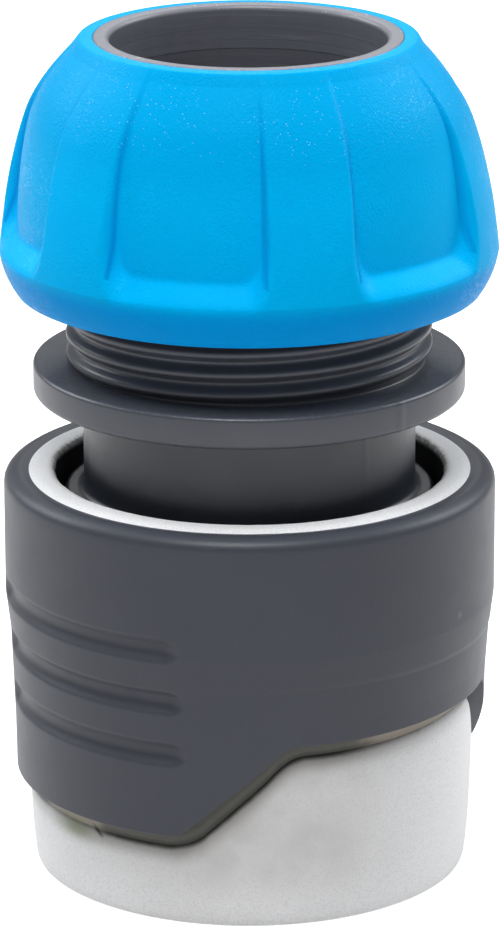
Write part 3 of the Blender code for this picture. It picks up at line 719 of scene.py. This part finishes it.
CHAMBER_TOP = 30.92
CHAMBER_FADE = 0.22
GRIMY_FROM = -46
GRIMY_RISE = 8
GRIMY_TO = 42
GRIMY_FALL = 22
PATCHY_FROM = 62
PATCHY_RISE = 15
DUSTY_ANGLE = 112
DUSTY_SPREAD = 26
BLOT_ANGLE = -51
BLOT_SPREAD = 8
BLOT_DROP = 1.7
BLOT_HEIGHT = 0.75
CRACK_START = -45.5
CRACK_SPAN = 5.0
CRACK_DROP = 0.9
CRACK_FALL = 0.8
CRACK_WIDTH = 0.13
FRONT_SHADE_ANGLE = 2
FRONT_SHADE_SPREAD = 34
FRONT_SHADE_FROM = 1.0
FRONT_SHADE_RISE = 4.5
FAR_OFF = 9.0


def grime(radius, degrees, height):
    """How dark the dirt in the step is: worst at the front, in patches behind."""
    turn = math.radians(degrees)
    patches = 0.45 + 0.9 * noise.noise(Vector((2.2 * math.cos(turn), 2.2 * math.sin(turn), 7.3)))
    front = eased((degrees - GRIMY_FROM) / GRIMY_RISE) * eased((GRIMY_TO - degrees) / GRIMY_FALL)
    behind = eased((abs(degrees) - PATCHY_FROM) / PATCHY_RISE)
    return max(front, min(1.0, max(0.0, patches)) * behind)


def point_value(obj, name, rule):
    """Stores a number at each point of a piece for its material."""
    numbers = obj.data.attributes.new(name, "FLOAT", "POINT")
    for vert, number in zip(obj.data.vertices, numbers.data):
        radius, degrees, height = measured(vert)
        number.value = rule(radius, round(degrees, 4), height)


def outer_drop(radius, degrees, height):
    """Distance below the grip's edge on the outside, and far off elsewhere."""
    outside = radius > SHELL_OUTER - 0.3 and height < WAVE_HIGH + 1
    return edge_drop(degrees, height) if outside else FAR_OFF


def chamber_shade(radius, degrees, height):
    """1 on the walls of the spring's room, painted black as deep shade, and 0 from the rim up."""
    inside = radius < RIM_INNER + 0.3 and height > LEDGE - 0.1
    return eased((CHAMBER_TOP - height) / CHAMBER_FADE) if inside else 0.0


def rim_dirt(radius, degrees, height):
    """Dust caught on the rim's inner slope, most at the back of each side."""
    inner = eased((RIM_INNER + 0.55 - radius) / 0.4) if height > SLEEVE_TOP - 0.6 else 0.0
    return inner * math.exp(-(((abs(degrees) - DUSTY_ANGLE) / DUSTY_SPREAD) ** 2))


def blot(radius, degrees, height):
    around = math.exp(-(((degrees - BLOT_ANGLE) / BLOT_SPREAD) ** 2))
    below = math.exp(-(((outer_drop(radius, degrees, height) - BLOT_DROP) / BLOT_HEIGHT) ** 2))
    return around * below


def crack(radius, degrees, height):
    """A short slanting crack in the dirt under the grip's edge."""
    along = (degrees - CRACK_START) / CRACK_SPAN
    if not 0 < along < 1:
        return 0.0
    off = outer_drop(radius, degrees, height) - CRACK_DROP - CRACK_FALL * along
    return math.exp(-((off / CRACK_WIDTH) ** 2)) * min(1.0, 4 * along, 4 - 4 * along)


def front_back_shade(radius, degrees, height):
    """Painted shade that greys the base on its front and back."""
    turned = (degrees + 90) % 180 - 90
    outside = radius > SHELL_OUTER - 0.3 and height < WAVE_HIGH
    around = math.exp(-(((turned - FRONT_SHADE_ANGLE) / FRONT_SHADE_SPREAD) ** 2))
    return around * eased((height - FRONT_SHADE_FROM) / FRONT_SHADE_RISE) * outside


for rule in (grime, outer_drop, chamber_shade, rim_dirt, blot, crack, front_back_shade):
    point_value(sleeve_shell, rule.__name__, rule)


def shell_plastic():
    """Off-white plastic with a fine grain, greyed by painted shade on its front and
    back; the dirt in the step under the grip, in beige and olive darkened by
    painted shade, with a dark olive line of painted shade and dirt in its corner;
    and the inside painted black as deep shade."""
    finish = Finish("shell_plastic", {"IOR": 1.49, "Specular IOR Level": 0.5})
    flow = finish.clouds(9, 2)
    tone = finish.mix(finish.ramp(flow, 0.3, 0.7), linear(243, 243, 244), linear(248, 248, 249))
    grain = finish.clouds(0.16, 3)
    tone = finish.mix(finish.ramp(grain, 0.42, 0.72) * 0.28, tone, linear(186, 185, 184))
    # Painted shade: the base is greyer on its front and back.
    front_back_shade = finish.number("front_back_shade") * (finish.ramp(finish.clouds(4, 3), 0.3, 0.7) * 0.4 + 0.6)
    tone = finish.mix(front_back_shade, tone, linear(206, 204, 203))
    dirt = finish.number("grime")
    wander = (finish.clouds(1.3, 3) - 0.5) * 0.22
    drop = finish.number("outer_drop") + wander
    streaks = finish.clouds(0.6, 3) * 0.3 - 0.15
    # The step's recessed wall: beige and olive stain, darkened by painted shade.
    wall_stain_and_shade = finish.mix(finish.ramp(dirt + streaks, 0.1, 0.9), linear(160, 148, 132), linear(70, 68, 57))
    tone = finish.mix((1 - finish.ramp(drop, 1.15, 1.3)) * 0.95, tone, wall_stain_and_shade)
    # Painted shade just under the grip's edge.
    shade = 1 - finish.ramp(drop, 0.42, 0.62)
    tone = finish.mix(shade * 0.6, tone, linear(60, 57, 48))
    haze = finish.ramp(drop, 1.1, 1.3) * (1 - finish.ramp(drop, 1.2, 2.9))
    tone = finish.mix(haze * (dirt * 0.3 + 0.3), tone, linear(138, 135, 127))
    # The step's corner line: painted shade, deepened by the dirt.
    crease_shade = finish.ramp(drop, 0.75, 1.1) * (1 - finish.ramp(drop, 1.22, 1.62))
    tone = finish.mix(crease_shade * (dirt * 0.74 + 0.14), tone, linear(34, 36, 27))
    tone = finish.mix(finish.number("blot") * 0.85, tone, linear(134, 138, 108))
    tone = finish.mix(finish.number("crack"), tone, linear(40, 40, 30))
    speckled = finish.ramp(finish.clouds(0.5, 3), 0.35, 0.65) * finish.number("rim_dirt")
    tone = finish.mix(speckled * 0.75, tone, linear(158, 148, 126))
    # Painted shade: the spring's room is painted black.
    inside = finish.number("chamber_shade")
    tone = finish.mix(inside, tone, (0.004, 0.004, 0.005))
    rough = finish.clouds(1.8, 3) * 0.16 + 0.36 + inside * 0.4
    normal = finish.bump(grain * 0.6 + finish.clouds(0.5, 2) * 0.4, 0.014)
    finish.set(Base_Color=tone, Roughness=rough, Normal=normal)
    return finish.material


fitted(sleeve_shell, shell_plastic(), "sleeve", "sleeve_shell", "sleeve_shell")

# Sleeve grip
# A soft dark grey skin is moulded over the shell. Three scooped grooves on
# each of two sides give the fingers a hold, and its lower edge climbs over
# the wide bare stretch of the base.
GRIP_WALL_RADIUS = 18.7
GRIP_WAIST = 21.6
GRIP_WAIST_LOW = (18.34, 18.6)
GRIP_LOW_BEND = (18.08, 11.5)
GRIP_LOW_RADIUS = 18.02
GRIP_CROWN = (17.6, SLEEVE_TOP + 0.18)
STRETCH_TOP = 19.5
GROOVES = ((22.2, 0.0), (18.06, 1.1), (13.97, 1.5))
GROOVE_SETS = ((-80.0, -21.2), (100.0, 158.8))
GROOVE_HALF = 1.0
GROOVE_DEPTH = 0.46
GROOVE_END = 0.62
GROOVE_ROUNDNESS = 1.25


def soft_minimum(first, second, reach):
    """The smaller number, with the corner between them rounded."""
    near = max(reach - abs(first - second), 0.0) / reach
    return min(first, second) - near * near * reach / 4


def grooves(degrees, height):
    """Depth of the finger grooves: round scoops with tapered ends, each
    lower one reaching a little further."""
    depth = 0.0
    for low, high in GROOVE_SETS:
        turned = (degrees - low + 180) % 360 - 180 + low
        for middle, extra in GROOVES:
            beyond = math.radians(max(low - turned, turned - high - extra, 0.0)) * GRIP_WALL_RADIUS
            off = math.hypot(beyond * GROOVE_END, height - middle) / GROOVE_HALF
            depth = max(depth, GROOVE_DEPTH * max(0.0, 1 - off * off) ** GROOVE_ROUNDNESS)
    return depth


def grip_form(radius, degrees, height):
    if height < STRETCH_TOP:
        share = (STRETCH_TOP - height) / (STRETCH_TOP - WAVE_LOW)
        height += (wave(degrees) - WAVE_LOW) * share
    if radius > GRIP_LOW_RADIUS - 0.1 and height < SLEEVE_TOP - 1.4:
        radius -= grooves(degrees, height)
    return radius, height


grip_outline = rounded([
    (RIM_OUTER - HAIR, SLEEVE_TOP - 0.35),
    (RIM_OUTER - HAIR, SLEEVE_TOP + HAIR),
    (*GRIP_CROWN, 1.0),
    (GRIP_WALL_RADIUS, SLEEVE_TOP - 0.35, 0.9),
    (GRIP_WALL_RADIUS, 29.4),
    *rows((GRIP_WALL_RADIUS, 29.0), (GRIP_WALL_RADIUS, GRIP_WAIST), 52),
    (GRIP_WALL_RADIUS, GRIP_WAIST, 0.8),
    *rows((GRIP_WALL_RADIUS, GRIP_WAIST), GRIP_WAIST_LOW, 24),
    (*GRIP_WAIST_LOW, 1.2),
    *rows(GRIP_WAIST_LOW, GRIP_LOW_BEND, 54),
    GRIP_LOW_BEND,
    *rows(GRIP_LOW_BEND, (GRIP_LOW_RADIUS, WAVE_LOW + 0.3), 16),
    (GRIP_LOW_RADIUS, WAVE_LOW, 0.12),
    (SHELL_OUTER + HAIR, WAVE_LOW),
    *rows((SHELL_OUTER + HAIR, WAVE_LOW), (SHELL_OUTER + HAIR, STRETCH_TOP), 12),
    (SHELL_OUTER + HAIR, STRETCH_TOP),
])
bm = spun(grip_outline, SHELL_SIDES)
reshape(bm, grip_form)
sleeve_grip = shaped("sleeve_soft_skin", bm, 60)


def soft_grey():
    """Soft moulding with a close satin skin and the odd scratch."""
    finish = Finish("soft_grey_skin", {"IOR": 1.48, "Specular IOR Level": 0.42})
    flow = finish.clouds(8, 2) * 0.5 + finish.clouds(0.3, 2) * 0.5
    tone = finish.mix(finish.ramp(flow, 0.25, 0.75), linear(60, 63, 72), linear(64, 67, 76))
    tone = finish.mix(finish.specks(2.6, 0.02, 3.0) * 0.3, tone, linear(120, 122, 122))
    skin = finish.clouds(0.12, 3) * 0.7 + finish.clouds(0.7, 2) * 0.3
    rough = finish.clouds(2.2, 3) * 0.1 + 0.38
    finish.set(Base_Color=tone, Roughness=rough, Normal=finish.bump(skin, 0.02))
    return finish.material


fitted(sleeve_grip, soft_grey(), "sleeve", "sleeve_grip", "sleeve_grip")

# Locking claws
# Four claws in smooth white acetal stand in the socket's windows. Each has a
# ramp below, which the plug pushes aside, a flat top that locks behind it,
# and a wider head outside that rides on the sleeve's cone.
CLAW_TIP = 7.2
CLAW_TIP_HEIGHT = 1.6
CLAW_BACK_LOW = 11.5
CLAW_BACK_HIGH = 11.3
CLAW_HEAD_DROP = 0.3
CLAW_HEAD_SPAN = 44
CLAW_HEAD_INNER = 11.2
CAM_GAP = 0.3
CLAW_EDGE = 0.22


def cam_at(height):
    """Radius of the sleeve's cone at a height."""
    share = (height - CAM_BOTTOM[1]) / (CAM_TOP[1] - CAM_BOTTOM[1])
    return CAM_BOTTOM[0] + (CAM_TOP[0] - CAM_BOTTOM[0]) * share


def acetal():
    """Smooth white plastic with faint flow clouds."""
    finish = Finish("claw_acetal", {"IOR": 1.48, "Specular IOR Level": 0.5})
    flow = finish.clouds(1.5, 3)
    finish.set(
        Base_Color=finish.mix(finish.ramp(flow, 0.3, 0.7), linear(214, 212, 204), linear(228, 226, 219)),
        Roughness=finish.clouds(0.7, 2) * 0.14 + 0.22,
        Normal=finish.bump(finish.clouds(0.14), 0.006),
    )
    return finish.material


claw_finish = acetal()
finger = [
    (CLAW_TIP, CLAW_HIGH),
    (CLAW_TIP, CLAW_HIGH - CLAW_TIP_HEIGHT),
    (PLUG_BORE, CLAW_LOW),
    (CLAW_BACK_LOW, CLAW_LOW),
    (CLAW_BACK_HIGH, CLAW_HIGH),
]
head_low = CLAW_LOW - CLAW_HEAD_DROP
head_high = CLAW_HIGH - CLAW_HEAD_DROP
head = [
    (CLAW_HEAD_INNER, head_low),
    (cam_at(head_low) - CAM_GAP, head_low),
    (cam_at(head_high) - CAM_GAP, head_high),
    (CLAW_HEAD_INNER, head_high),
]
for side, degrees in CLAWS.items():
    claw = shaped("claw_" + side + "_pawl", spun(finger, 14, CLAW_SPAN, degrees))
    cut(claw, spun(head, 17, CLAW_HEAD_SPAN, degrees), "UNION")
    bevel = claw.modifiers.new("worn edges", "BEVEL")
    bevel.width = CLAW_EDGE * MM
    bevel.segments = 3
    bevel.limit_method = "ANGLE"
    bevel.angle_limit = math.radians(35)
    fitted(claw, claw_finish, side + "_claw", "claw", "claw_" + side)

# Nut core
# The clamping nut's hard core is grey moulded plastic: a thread inside, a
# catch for the collet's ring and the bore whose flat end ring shows at the
# top, painted lighter where it catches the light and faintly ringed from the tool.
NUT_BOTTOM = 45.05
NUT_TOP = 64.5
NUT_RING_OUTER = 11.57
NUT_CONE = (14.0, 60.6)
NUT_SHOULDER = 56.1
NUT_BORE = 10.35
NUT_BORE_BOTTOM = 59.5
NUT_CAVITY = 12.35
NUT_CATCH = 11.45
CATCH_LOW = 55.5
CATCH_HIGH = 56.3
NUT_THREAD_ROOT = 14.15
NUT_THREAD_TOP = 53.4
NUT_CORE_OUTER = 15.9
TOOL_RINGS = (62.85, 62.0, 61.3)
TOOL_RING_DEPTH = 0.018
INNER_THREAD_SHARE = 0.9
INNER_THREAD_CREST = 0.2
INNER_THREAD_FLANK = 0.3


def nut_form(radius, degrees, height):
    if abs(radius - NUT_THREAD_ROOT) < HAIR and NUT_BOTTOM + 0.6 < height < NUT_THREAD_TOP:
        ends = eased((height - NUT_BOTTOM - 0.6) / 0.5) * eased((NUT_THREAD_TOP - height) / 0.5)
        depth = THREAD_DEPTH * INNER_THREAD_SHARE * ends * inner_thread(degrees, height)
        return radius - depth, height
    return radius, height


def inner_thread(degrees, height):
    """The nut's thread stands half a pitch off the collar's."""
    turns = (height - THREAD_AT_FRONT) / THREAD_PITCH - degrees / 360 - 0.5
    off_crest = abs(turns - round(turns)) * THREAD_PITCH
    return 1 - eased((off_crest - INNER_THREAD_CREST / 2) / INNER_THREAD_FLANK)


bore_rings = []
for height in TOOL_RINGS:
    bore_rings += [
        (NUT_BORE, height - 0.12),
        (NUT_BORE + TOOL_RING_DEPTH, height),
        (NUT_BORE + TOOL_RING_DEPTH / 2, height + 0.1),
    ]
nut_outline = rounded([
    (NUT_RING_OUTER, NUT_TOP - 0.02, 0.12),
    (NUT_RING_OUTER + 0.1, NUT_TOP - 1.2),
    NUT_CONE,
    (NUT_CORE_OUTER, NUT_SHOULDER, 2.0),
    (NUT_CORE_OUTER, NUT_BOTTOM, 0.3),
    (NUT_THREAD_ROOT, NUT_BOTTOM, 0.4),
    *rows((NUT_THREAD_ROOT, NUT_BOTTOM + 0.5), (NUT_THREAD_ROOT, NUT_THREAD_TOP + 0.1), 70),
    (NUT_THREAD_ROOT, CATCH_LOW, 0.2),
    (NUT_CATCH, CATCH_LOW, 0.15),
    (NUT_CATCH, CATCH_HIGH, 0.15),
    (NUT_CAVITY, CATCH_HIGH),
    (NUT_CAVITY, NUT_BORE_BOTTOM, 0.2),
    (NUT_BORE + 0.12, NUT_BORE_BOTTOM, 0.15),
    *reversed(bore_rings),
    (NUT_BORE, 63.3),
    (NUT_BORE, NUT_TOP - 0.02, 0.42),
])
bm = spun(nut_outline)
reshape(bm, nut_form)
nut_core = shaped("nut_hard_core", bm)


def nut_plastic():
    """Grey plastic with fine tool rings round the bore, lighter in painted glints,
    the end ring painted lighter where light falls on its top, and bright flecks
    on it, painted glints over a burr relief."""
    finish = Finish("nut_plastic", {"IOR": 1.5, "Specular IOR Level": 0.5})
    flow = finish.clouds(6, 3) * 0.6 + finish.clouds(0.9, 3) * 0.4
    tone = finish.mix(finish.ramp(flow, 0.3, 0.7), linear(97, 100, 108), linear(103, 106, 114))
    # Tool rings: real in the bump, and painted glints where they lighten the colour.
    tool_rings_and_glints = finish.clouds(0.22, 3, (40, 40, 1))
    tone = finish.mix(finish.ramp(tool_rings_and_glints, 0.6, 0.75) * 0.22, tone, linear(150, 152, 158))
    # Painted light on the end ring's top face.
    lit_end_ring = finish.above(NUT_TOP - 0.45, NUT_TOP - 0.1)
    tone = finish.mix(lit_end_ring * 0.85, tone, linear(135, 135, 144))
    # Painted glints: bright flecks on the end ring, with a burr relief in the bump.
    burr_and_glint = finish.ramp(finish.clouds(0.28, 2), 0.66, 0.72) * lit_end_ring
    tone = finish.mix(burr_and_glint * 0.7, tone, linear(216, 216, 218))
    rough = finish.clouds(1.2, 3) * 0.16 + 0.3
    normal = finish.bump(tool_rings_and_glints * 0.7 + finish.clouds(0.12, 2) * 0.3, 0.016)
    finish.set(Base_Color=tone, Roughness=rough, Normal=finish.bump(burr_and_glint, 0.03, normal))
    return finish.material


nut_finish = nut_plastic()
fitted(nut_core, nut_finish, "nut", "nut", "nut_core")

# Nut grip
# The bright blue skin is soft plastic moulded over the core. Six panels are
# sunk between broad ribs, deepest at the sill and running out at the top, and
# the whole skin has a fine leathery grain.
GRIP_SIDES = 540
GRIP_WIDEST = (18.8, 48.5)
GRIP_KINK = (15.98, 60.65)
GRIP_SHOULDER = (13.3, 63.55)
GRIP_LIP = (12.65, 64.42)
GRIP_SIDE_BULGE = 0.52
GRIP_FOOT = (17.6, 45.45)
GRIP_FOOT_EDGE = 17.1
GRIP_BOTTOM = NUT_BOTTOM + 0.15
SKIN_BACK = (13.95, 60.4)
SKIN_BACK_LOW = 55.5
SKIN_SLOPE = 0.43
PANEL_COUNT = 6
PANEL_FIRST = -15.1
PANEL_HALF_LOW = 20.6
PANEL_HALF_HIGH = 18.6
PANEL_INNERMOST = 12.5
PANEL_SILL = 48.6
PANEL_FLOOR = 49.95
PANEL_RUN_OUT = 63.3
PANEL_DEPTH = 1.35
PANEL_SIDE_SLOPE = 2.4
PANEL_CORNER = 4.6
PANEL_CREASE = 0.25
PANEL_EDGE = 0.5
PANEL_FADE = 1.1
KINK_ROUNDING = 0.3
KINK_REACH = 2.8
RIB_ROUNDING = 0.28
RIB_REACH = 2.2
CREASE_SPREAD = 0.3
CREASE_FADE = 2.5
FOOT_SHADE = (47.4, 48.8)
TOP_SHADE = (55, 61)
SPARKS_START = (58, 60.5)
SPARKS_END = (63.2, 64.1)


def kink_sweep(height, rounding, reach):
    """What the skin's kink loses to its rounding, over a reach up and down."""
    near = max(0.0, 1 - abs(height - GRIP_KINK[1]) / reach)
    return rounding * near * near


def panel_walls(degrees, radius, height):
    """Depths of the three surfaces that bound a sunk panel: side, sill and a
    floor that runs out gently and passes the kink in one round sweep."""
    pitch = 360 / PANEL_COUNT
    off = abs((degrees - PANEL_FIRST + pitch / 2) % pitch - pitch / 2)
    up = min(1.0, max(0.0, (height - PANEL_FLOOR) / (PANEL_RUN_OUT - PANEL_FLOOR)))
    half = PANEL_HALF_LOW + (PANEL_HALF_HIGH - PANEL_HALF_LOW) * up
    from_side = math.radians(half - off) * radius * PANEL_SIDE_SLOPE
    from_sill = (height - PANEL_SILL) * PANEL_DEPTH / (PANEL_FLOOR - PANEL_SILL)
    sweep = kink_sweep(height, KINK_ROUNDING, KINK_REACH) - kink_sweep(height, RIB_ROUNDING, RIB_REACH)
    return from_side, from_sill, PANEL_DEPTH * (1 - up) ** PANEL_FADE + sweep


def panel_depth(degrees, radius, height):
    """How deep the outside is cut at a place, by a panel or by the kink's
    rounding on a rib."""
    from_side, from_sill, floor = panel_walls(degrees, radius, height)
    wall = soft_minimum(from_side, from_sill, PANEL_CORNER)
    depth = soft_minimum(wall, floor, PANEL_CREASE)
    return kink_sweep(height, RIB_ROUNDING, RIB_REACH) - soft_minimum(-depth, 0.0, PANEL_EDGE)


def panel_crease(radius, degrees, height):
    """How near a place is to the line where a panel's floor meets its side."""
    from_side, from_sill, floor = panel_walls(degrees, radius, height)
    if from_sill < floor or radius < skin_inside(height) + 0.2:
        return 0.0
    return math.exp(-(((from_side - floor) / CREASE_SPREAD) ** 2)) * min(1.0, CREASE_FADE * floor)


def nut_grip_form(radius, degrees, height):
    outside = radius > max(PANEL_INNERMOST, skin_inside(height) + 0.4)
    if outside and height > PANEL_SILL - 0.6:
        return radius - panel_depth(degrees, radius, height), height
    return radius, height


def skin_inside(height):
    """Radius of the hard core under the skin."""
    if height < NUT_SHOULDER:
        return NUT_CORE_OUTER
    return max(NUT_RING_OUTER, NUT_CORE_OUTER - (height - NUT_SHOULDER) * SKIN_SLOPE)


nut_grip_outline = rounded([
    (NUT_RING_OUTER - HAIR, NUT_TOP - 0.5),
    (NUT_RING_OUTER + 0.02, NUT_TOP - 0.03, 0.12),
    (*GRIP_LIP, 0.35),
    (*GRIP_SHOULDER, 1.2),
    *rows(GRIP_SHOULDER, GRIP_KINK, 22),
    (*GRIP_KINK, 2.2),
    *rows(GRIP_KINK, GRIP_WIDEST, 68, GRIP_SIDE_BULGE),
    (*GRIP_WIDEST, 0.35),
    *rows(GRIP_WIDEST, GRIP_FOOT, 10, 0.2),
    GRIP_FOOT,
    (GRIP_FOOT_EDGE, GRIP_BOTTOM, 0.25),
    (NUT_CORE_OUTER - HAIR, GRIP_BOTTOM),
    (NUT_CORE_OUTER - HAIR, SKIN_BACK_LOW),
    SKIN_BACK,
])
bm = spun(nut_grip_outline, GRIP_SIDES)
reshape(bm, nut_grip_form)
nut_grip = shaped("nut_blue_skin", bm, 60)
# Stores where painted shade darkens the panels' creases.
point_value(nut_grip, "crease_shade", panel_crease)


def soft_blue():
    """Bright blue soft plastic with a fine leathery grain, rubbed smoother in
    patches, small painted glints on the grain, and painted shade on the foot,
    top and creases."""
    tint = {"IOR": 1.45, "Specular IOR Level": 0.07, "Specular Tint": (0.15, 0.75, 1, 1)}
    finish = Finish("soft_blue_skin", tint)
    flow = finish.clouds(9, 2) * 0.6 + finish.clouds(1.5, 3) * 0.4
    tone = finish.mix(finish.ramp(flow, 0.3, 0.7), linear(0, 181, 247), linear(0, 185, 251))
    # Painted shade: the top and the foot are darker, deeper blue.
    tone = finish.mix(finish.above(*TOP_SHADE), tone, linear(0, 170, 234))
    tone = finish.mix(1 - finish.above(*FOOT_SHADE), tone, linear(0, 161, 243))
    # Painted shade in the panels' creases.
    tone = finish.mix(finish.number("crease_shade") * 0.75, tone, linear(0, 124, 208))
    cells = {"Vector": finish.place, "Scale": 1 / (0.2 * MM), "Smoothness": 0.4}
    lumps = finish.node("TexVoronoi", {"feature": "SMOOTH_F1"}, cells, "Distance")
    fine = finish.clouds(0.13, 3)
    worn = finish.ramp(finish.clouds(4.5, 3), 0.44, 0.58)
    tone = finish.mix(finish.ramp(lumps, 0.45, 0.85) * 0.06, tone, linear(0, 160, 235))
    glints = finish.ramp(finish.clouds(0.3, 2), 0.54, 0.62) * (worn * 0.7 + 0.3)
    bright = finish.ramp(finish.clouds(5, 2), 0.42, 0.56) * finish.above(*SPARKS_START)
    bright = bright * (1 - finish.above(*SPARKS_END)) * 0.8 + 0.03
    # Painted glints: small light dots on the grain near the top.
    sparks = finish.specks(0.3, 0.8, 5.0) * bright
    tone = finish.mix(sparks, tone, linear(168, 232, 255))
    rough = finish.clouds(0.5, 2) * 0.12 + 0.42 - glints * 0.26
    relief = lumps * (worn * 0.6 + 0.4) + fine * 0.5
    finish.set(Base_Color=tone, Roughness=rough, Normal=finish.bump(relief, 0.028))
    return finish.material


fitted(nut_grip, soft_blue(), "nut", "nut_grip", "nut_grip")

# Clamp collet
# The collet is one ring with six toothed fingers in the same grey plastic. It
# is snapped in behind the nut's catch, and the collar's cone squeezes the
# fingers on the hose as the nut goes down.
COLLET_RING = 12.05
COLLET_TOP = 59.2
COLLET_RING_BOTTOM = 56.6
COLLET_TIP = 46.5
COLLET_TIP_RADIUS = 10.22
FINGER_LIMIT = 11.15
FINGER_FULL = 52.3
COLLET_BORE = 9.42
TOOTH_COUNT = 3
TOOTH_PITCH = 2.0
TOOTH_HEIGHT = 0.4
FINGER_COUNT = 6
FINGER_SLOT = 2.2
SLOT_FIRST = 30
SLOT_MIDDLE = 10.5
SLOT_DEPTH = 4.5
SLOT_TOP = COLLET_RING_BOTTOM - 0.3
corners = [
    (COLLET_RING, COLLET_TOP, 0.2),
    (COLLET_RING, COLLET_RING_BOTTOM, 0.15),
    (FINGER_LIMIT, COLLET_RING_BOTTOM, 0.2),
    (FINGER_LIMIT, FINGER_FULL, 3.0),
    (COLLET_TIP_RADIUS, COLLET_TIP, 0.2),
]
for index in range(TOOTH_COUNT):
    tooth = COLLET_TIP + index * TOOTH_PITCH
    corners += [(COLLET_BORE, tooth, 0.08), (COLLET_BORE - TOOTH_HEIGHT, tooth + TOOTH_HEIGHT, 0.08)]
corners += [
    (COLLET_BORE, COLLET_TIP + TOOTH_COUNT * TOOTH_PITCH, 0.5),
    (COLLET_BORE, COLLET_TOP, 0.6),
]
collet = shaped("collet_ring_and_fingers", spun(rounded(corners), 180))
slot_height = SLOT_TOP - COLLET_TIP + 1
bm = bmesh.new()
for index in range(FINGER_COUNT):
    place = (SLOT_MIDDLE, SLOT_FIRST + 360 / FINGER_COUNT * index, COLLET_TIP - 1 + slot_height / 2)
    block(bm, place, (FINGER_SLOT, SLOT_DEPTH, slot_height))
cut(collet, bm)
fitted(collet, nut_finish, "collet", "nut", "clamp_collet")

# Studio stage
# A pale floor in a soft white tent. A broad lamp hangs high in front, and three
# cooler ones stand behind, left, right and in the middle. Only the camera sees
# the tent's full white, and only it and reflections see the floor's glow.
FLOOR_SIZE = 4000
FLOOR_TONE = 0.64
FLOOR_SEEN = 0.86
FLOOR_MIRRORED = 0.62
TENT_LIGHT = 0.24
TENT_SEEN = 0.76
bm = bmesh.new()
bmesh.ops.create_grid(bm, x_segments=1, y_segments=1, size=FLOOR_SIZE / 2 * MM)
floor = shaped("studio_floor", bm)
paper = Finish("floor_paper", {"Roughness": 0.9, "Specular IOR Level": 0.1})
paper.set(Base_Color=(FLOOR_TONE, FLOOR_TONE, FLOOR_TONE, 1))
by_eye = paper.node("LightPath", {}, {}, "Is Camera Ray")
mirrored = paper.node("LightPath", {}, {}, "Is Glossy Ray")
strength = by_eye * FLOOR_SEEN + mirrored * FLOOR_MIRRORED
glow = paper.node("Emission", {}, {"Color": (1, 1, 1, 1), "Strength": strength})
lit = Value(paper.tree, paper.shader.outputs[0])
both = paper.node("AddShader", {}, {0: lit, 1: glow})
paper.feed(paper.tree.nodes["Material Output"].inputs["Surface"], both)
floor.data.materials.append(paper.material)

world = bpy.data.worlds.new("white_tent")
bpy.context.scene.world = world
world.use_nodes = True
tent = world.node_tree
tent_glow = tent.nodes["Background"].inputs
tent_glow["Color"].default_value = (1, 1, 1, 1)
seen = Value(tent, tent.nodes.new("ShaderNodeLightPath").outputs["Is Camera Ray"])
tent.links.new((seen * TENT_SEEN + TENT_LIGHT).socket, tent_glow["Strength"])
LAMP_DISTANCE = 500
LAMP_AIM = 35
WHITE = (1, 1, 1)
COOL_WHITE = (0.97, 1, 1.02)


def lamp(name, around, up, size, energy, colour):
    """Disc lamp half a metre off, by its angle from the front and its rise."""
    rise = math.radians(up)
    place = point(LAMP_DISTANCE * math.cos(rise), around, LAMP_DISTANCE * math.sin(rise))
    light = bpy.data.lights.new(name, "AREA")
    light.color = colour
    light.shape = "DISK"
    light.size = size * MM
    light.energy = energy
    made = placed(name, light)
    made.location = place + Vector((0, 0, LAMP_AIM * MM))
    made.rotation_euler = place.to_track_quat("Z", "Y").to_euler()
    made.visible_camera = False


lamp("key_lamp", -12, 68, 240, 1.9, WHITE)
lamp("left_lamp", -122, 34, 300, 1.05, COOL_WHITE)
lamp("right_lamp", 118, 34, 300, 1.15, COOL_WHITE)
lamp("back_lamp", 180, 38, 260, 0.35, COOL_WHITE)

# Camera
# A long lens a little above the connector, level with it from side to side.
IMAGE_WIDTH = 500
FOCAL_PIXELS = 5183.6
CAMERA_PLACE = (0.036, -376.6, 148.8)
CAMERA_DOWN = 17.34
CAMERA_ROLL = -0.143
camera = bpy.data.cameras.new("studio_camera")
camera.sensor_fit = "HORIZONTAL"
camera.sensor_width = 36
camera.lens = FOCAL_PIXELS * camera.sensor_width / IMAGE_WIDTH
camera.clip_start = 0.01
camera.clip_end = 20
viewer = placed("studio_camera", camera)
pitch = Matrix.Rotation(math.radians(90 - CAMERA_DOWN), 4, "X")
tilt = pitch @ Matrix.Rotation(math.radians(CAMERA_ROLL), 4, "Z")
viewer.matrix_world = Matrix.Translation(Vector(CAMERA_PLACE) * MM) @ tilt
bpy.context.scene.camera = viewer
bpy.context.scene.view_settings.view_transform = "Standard"
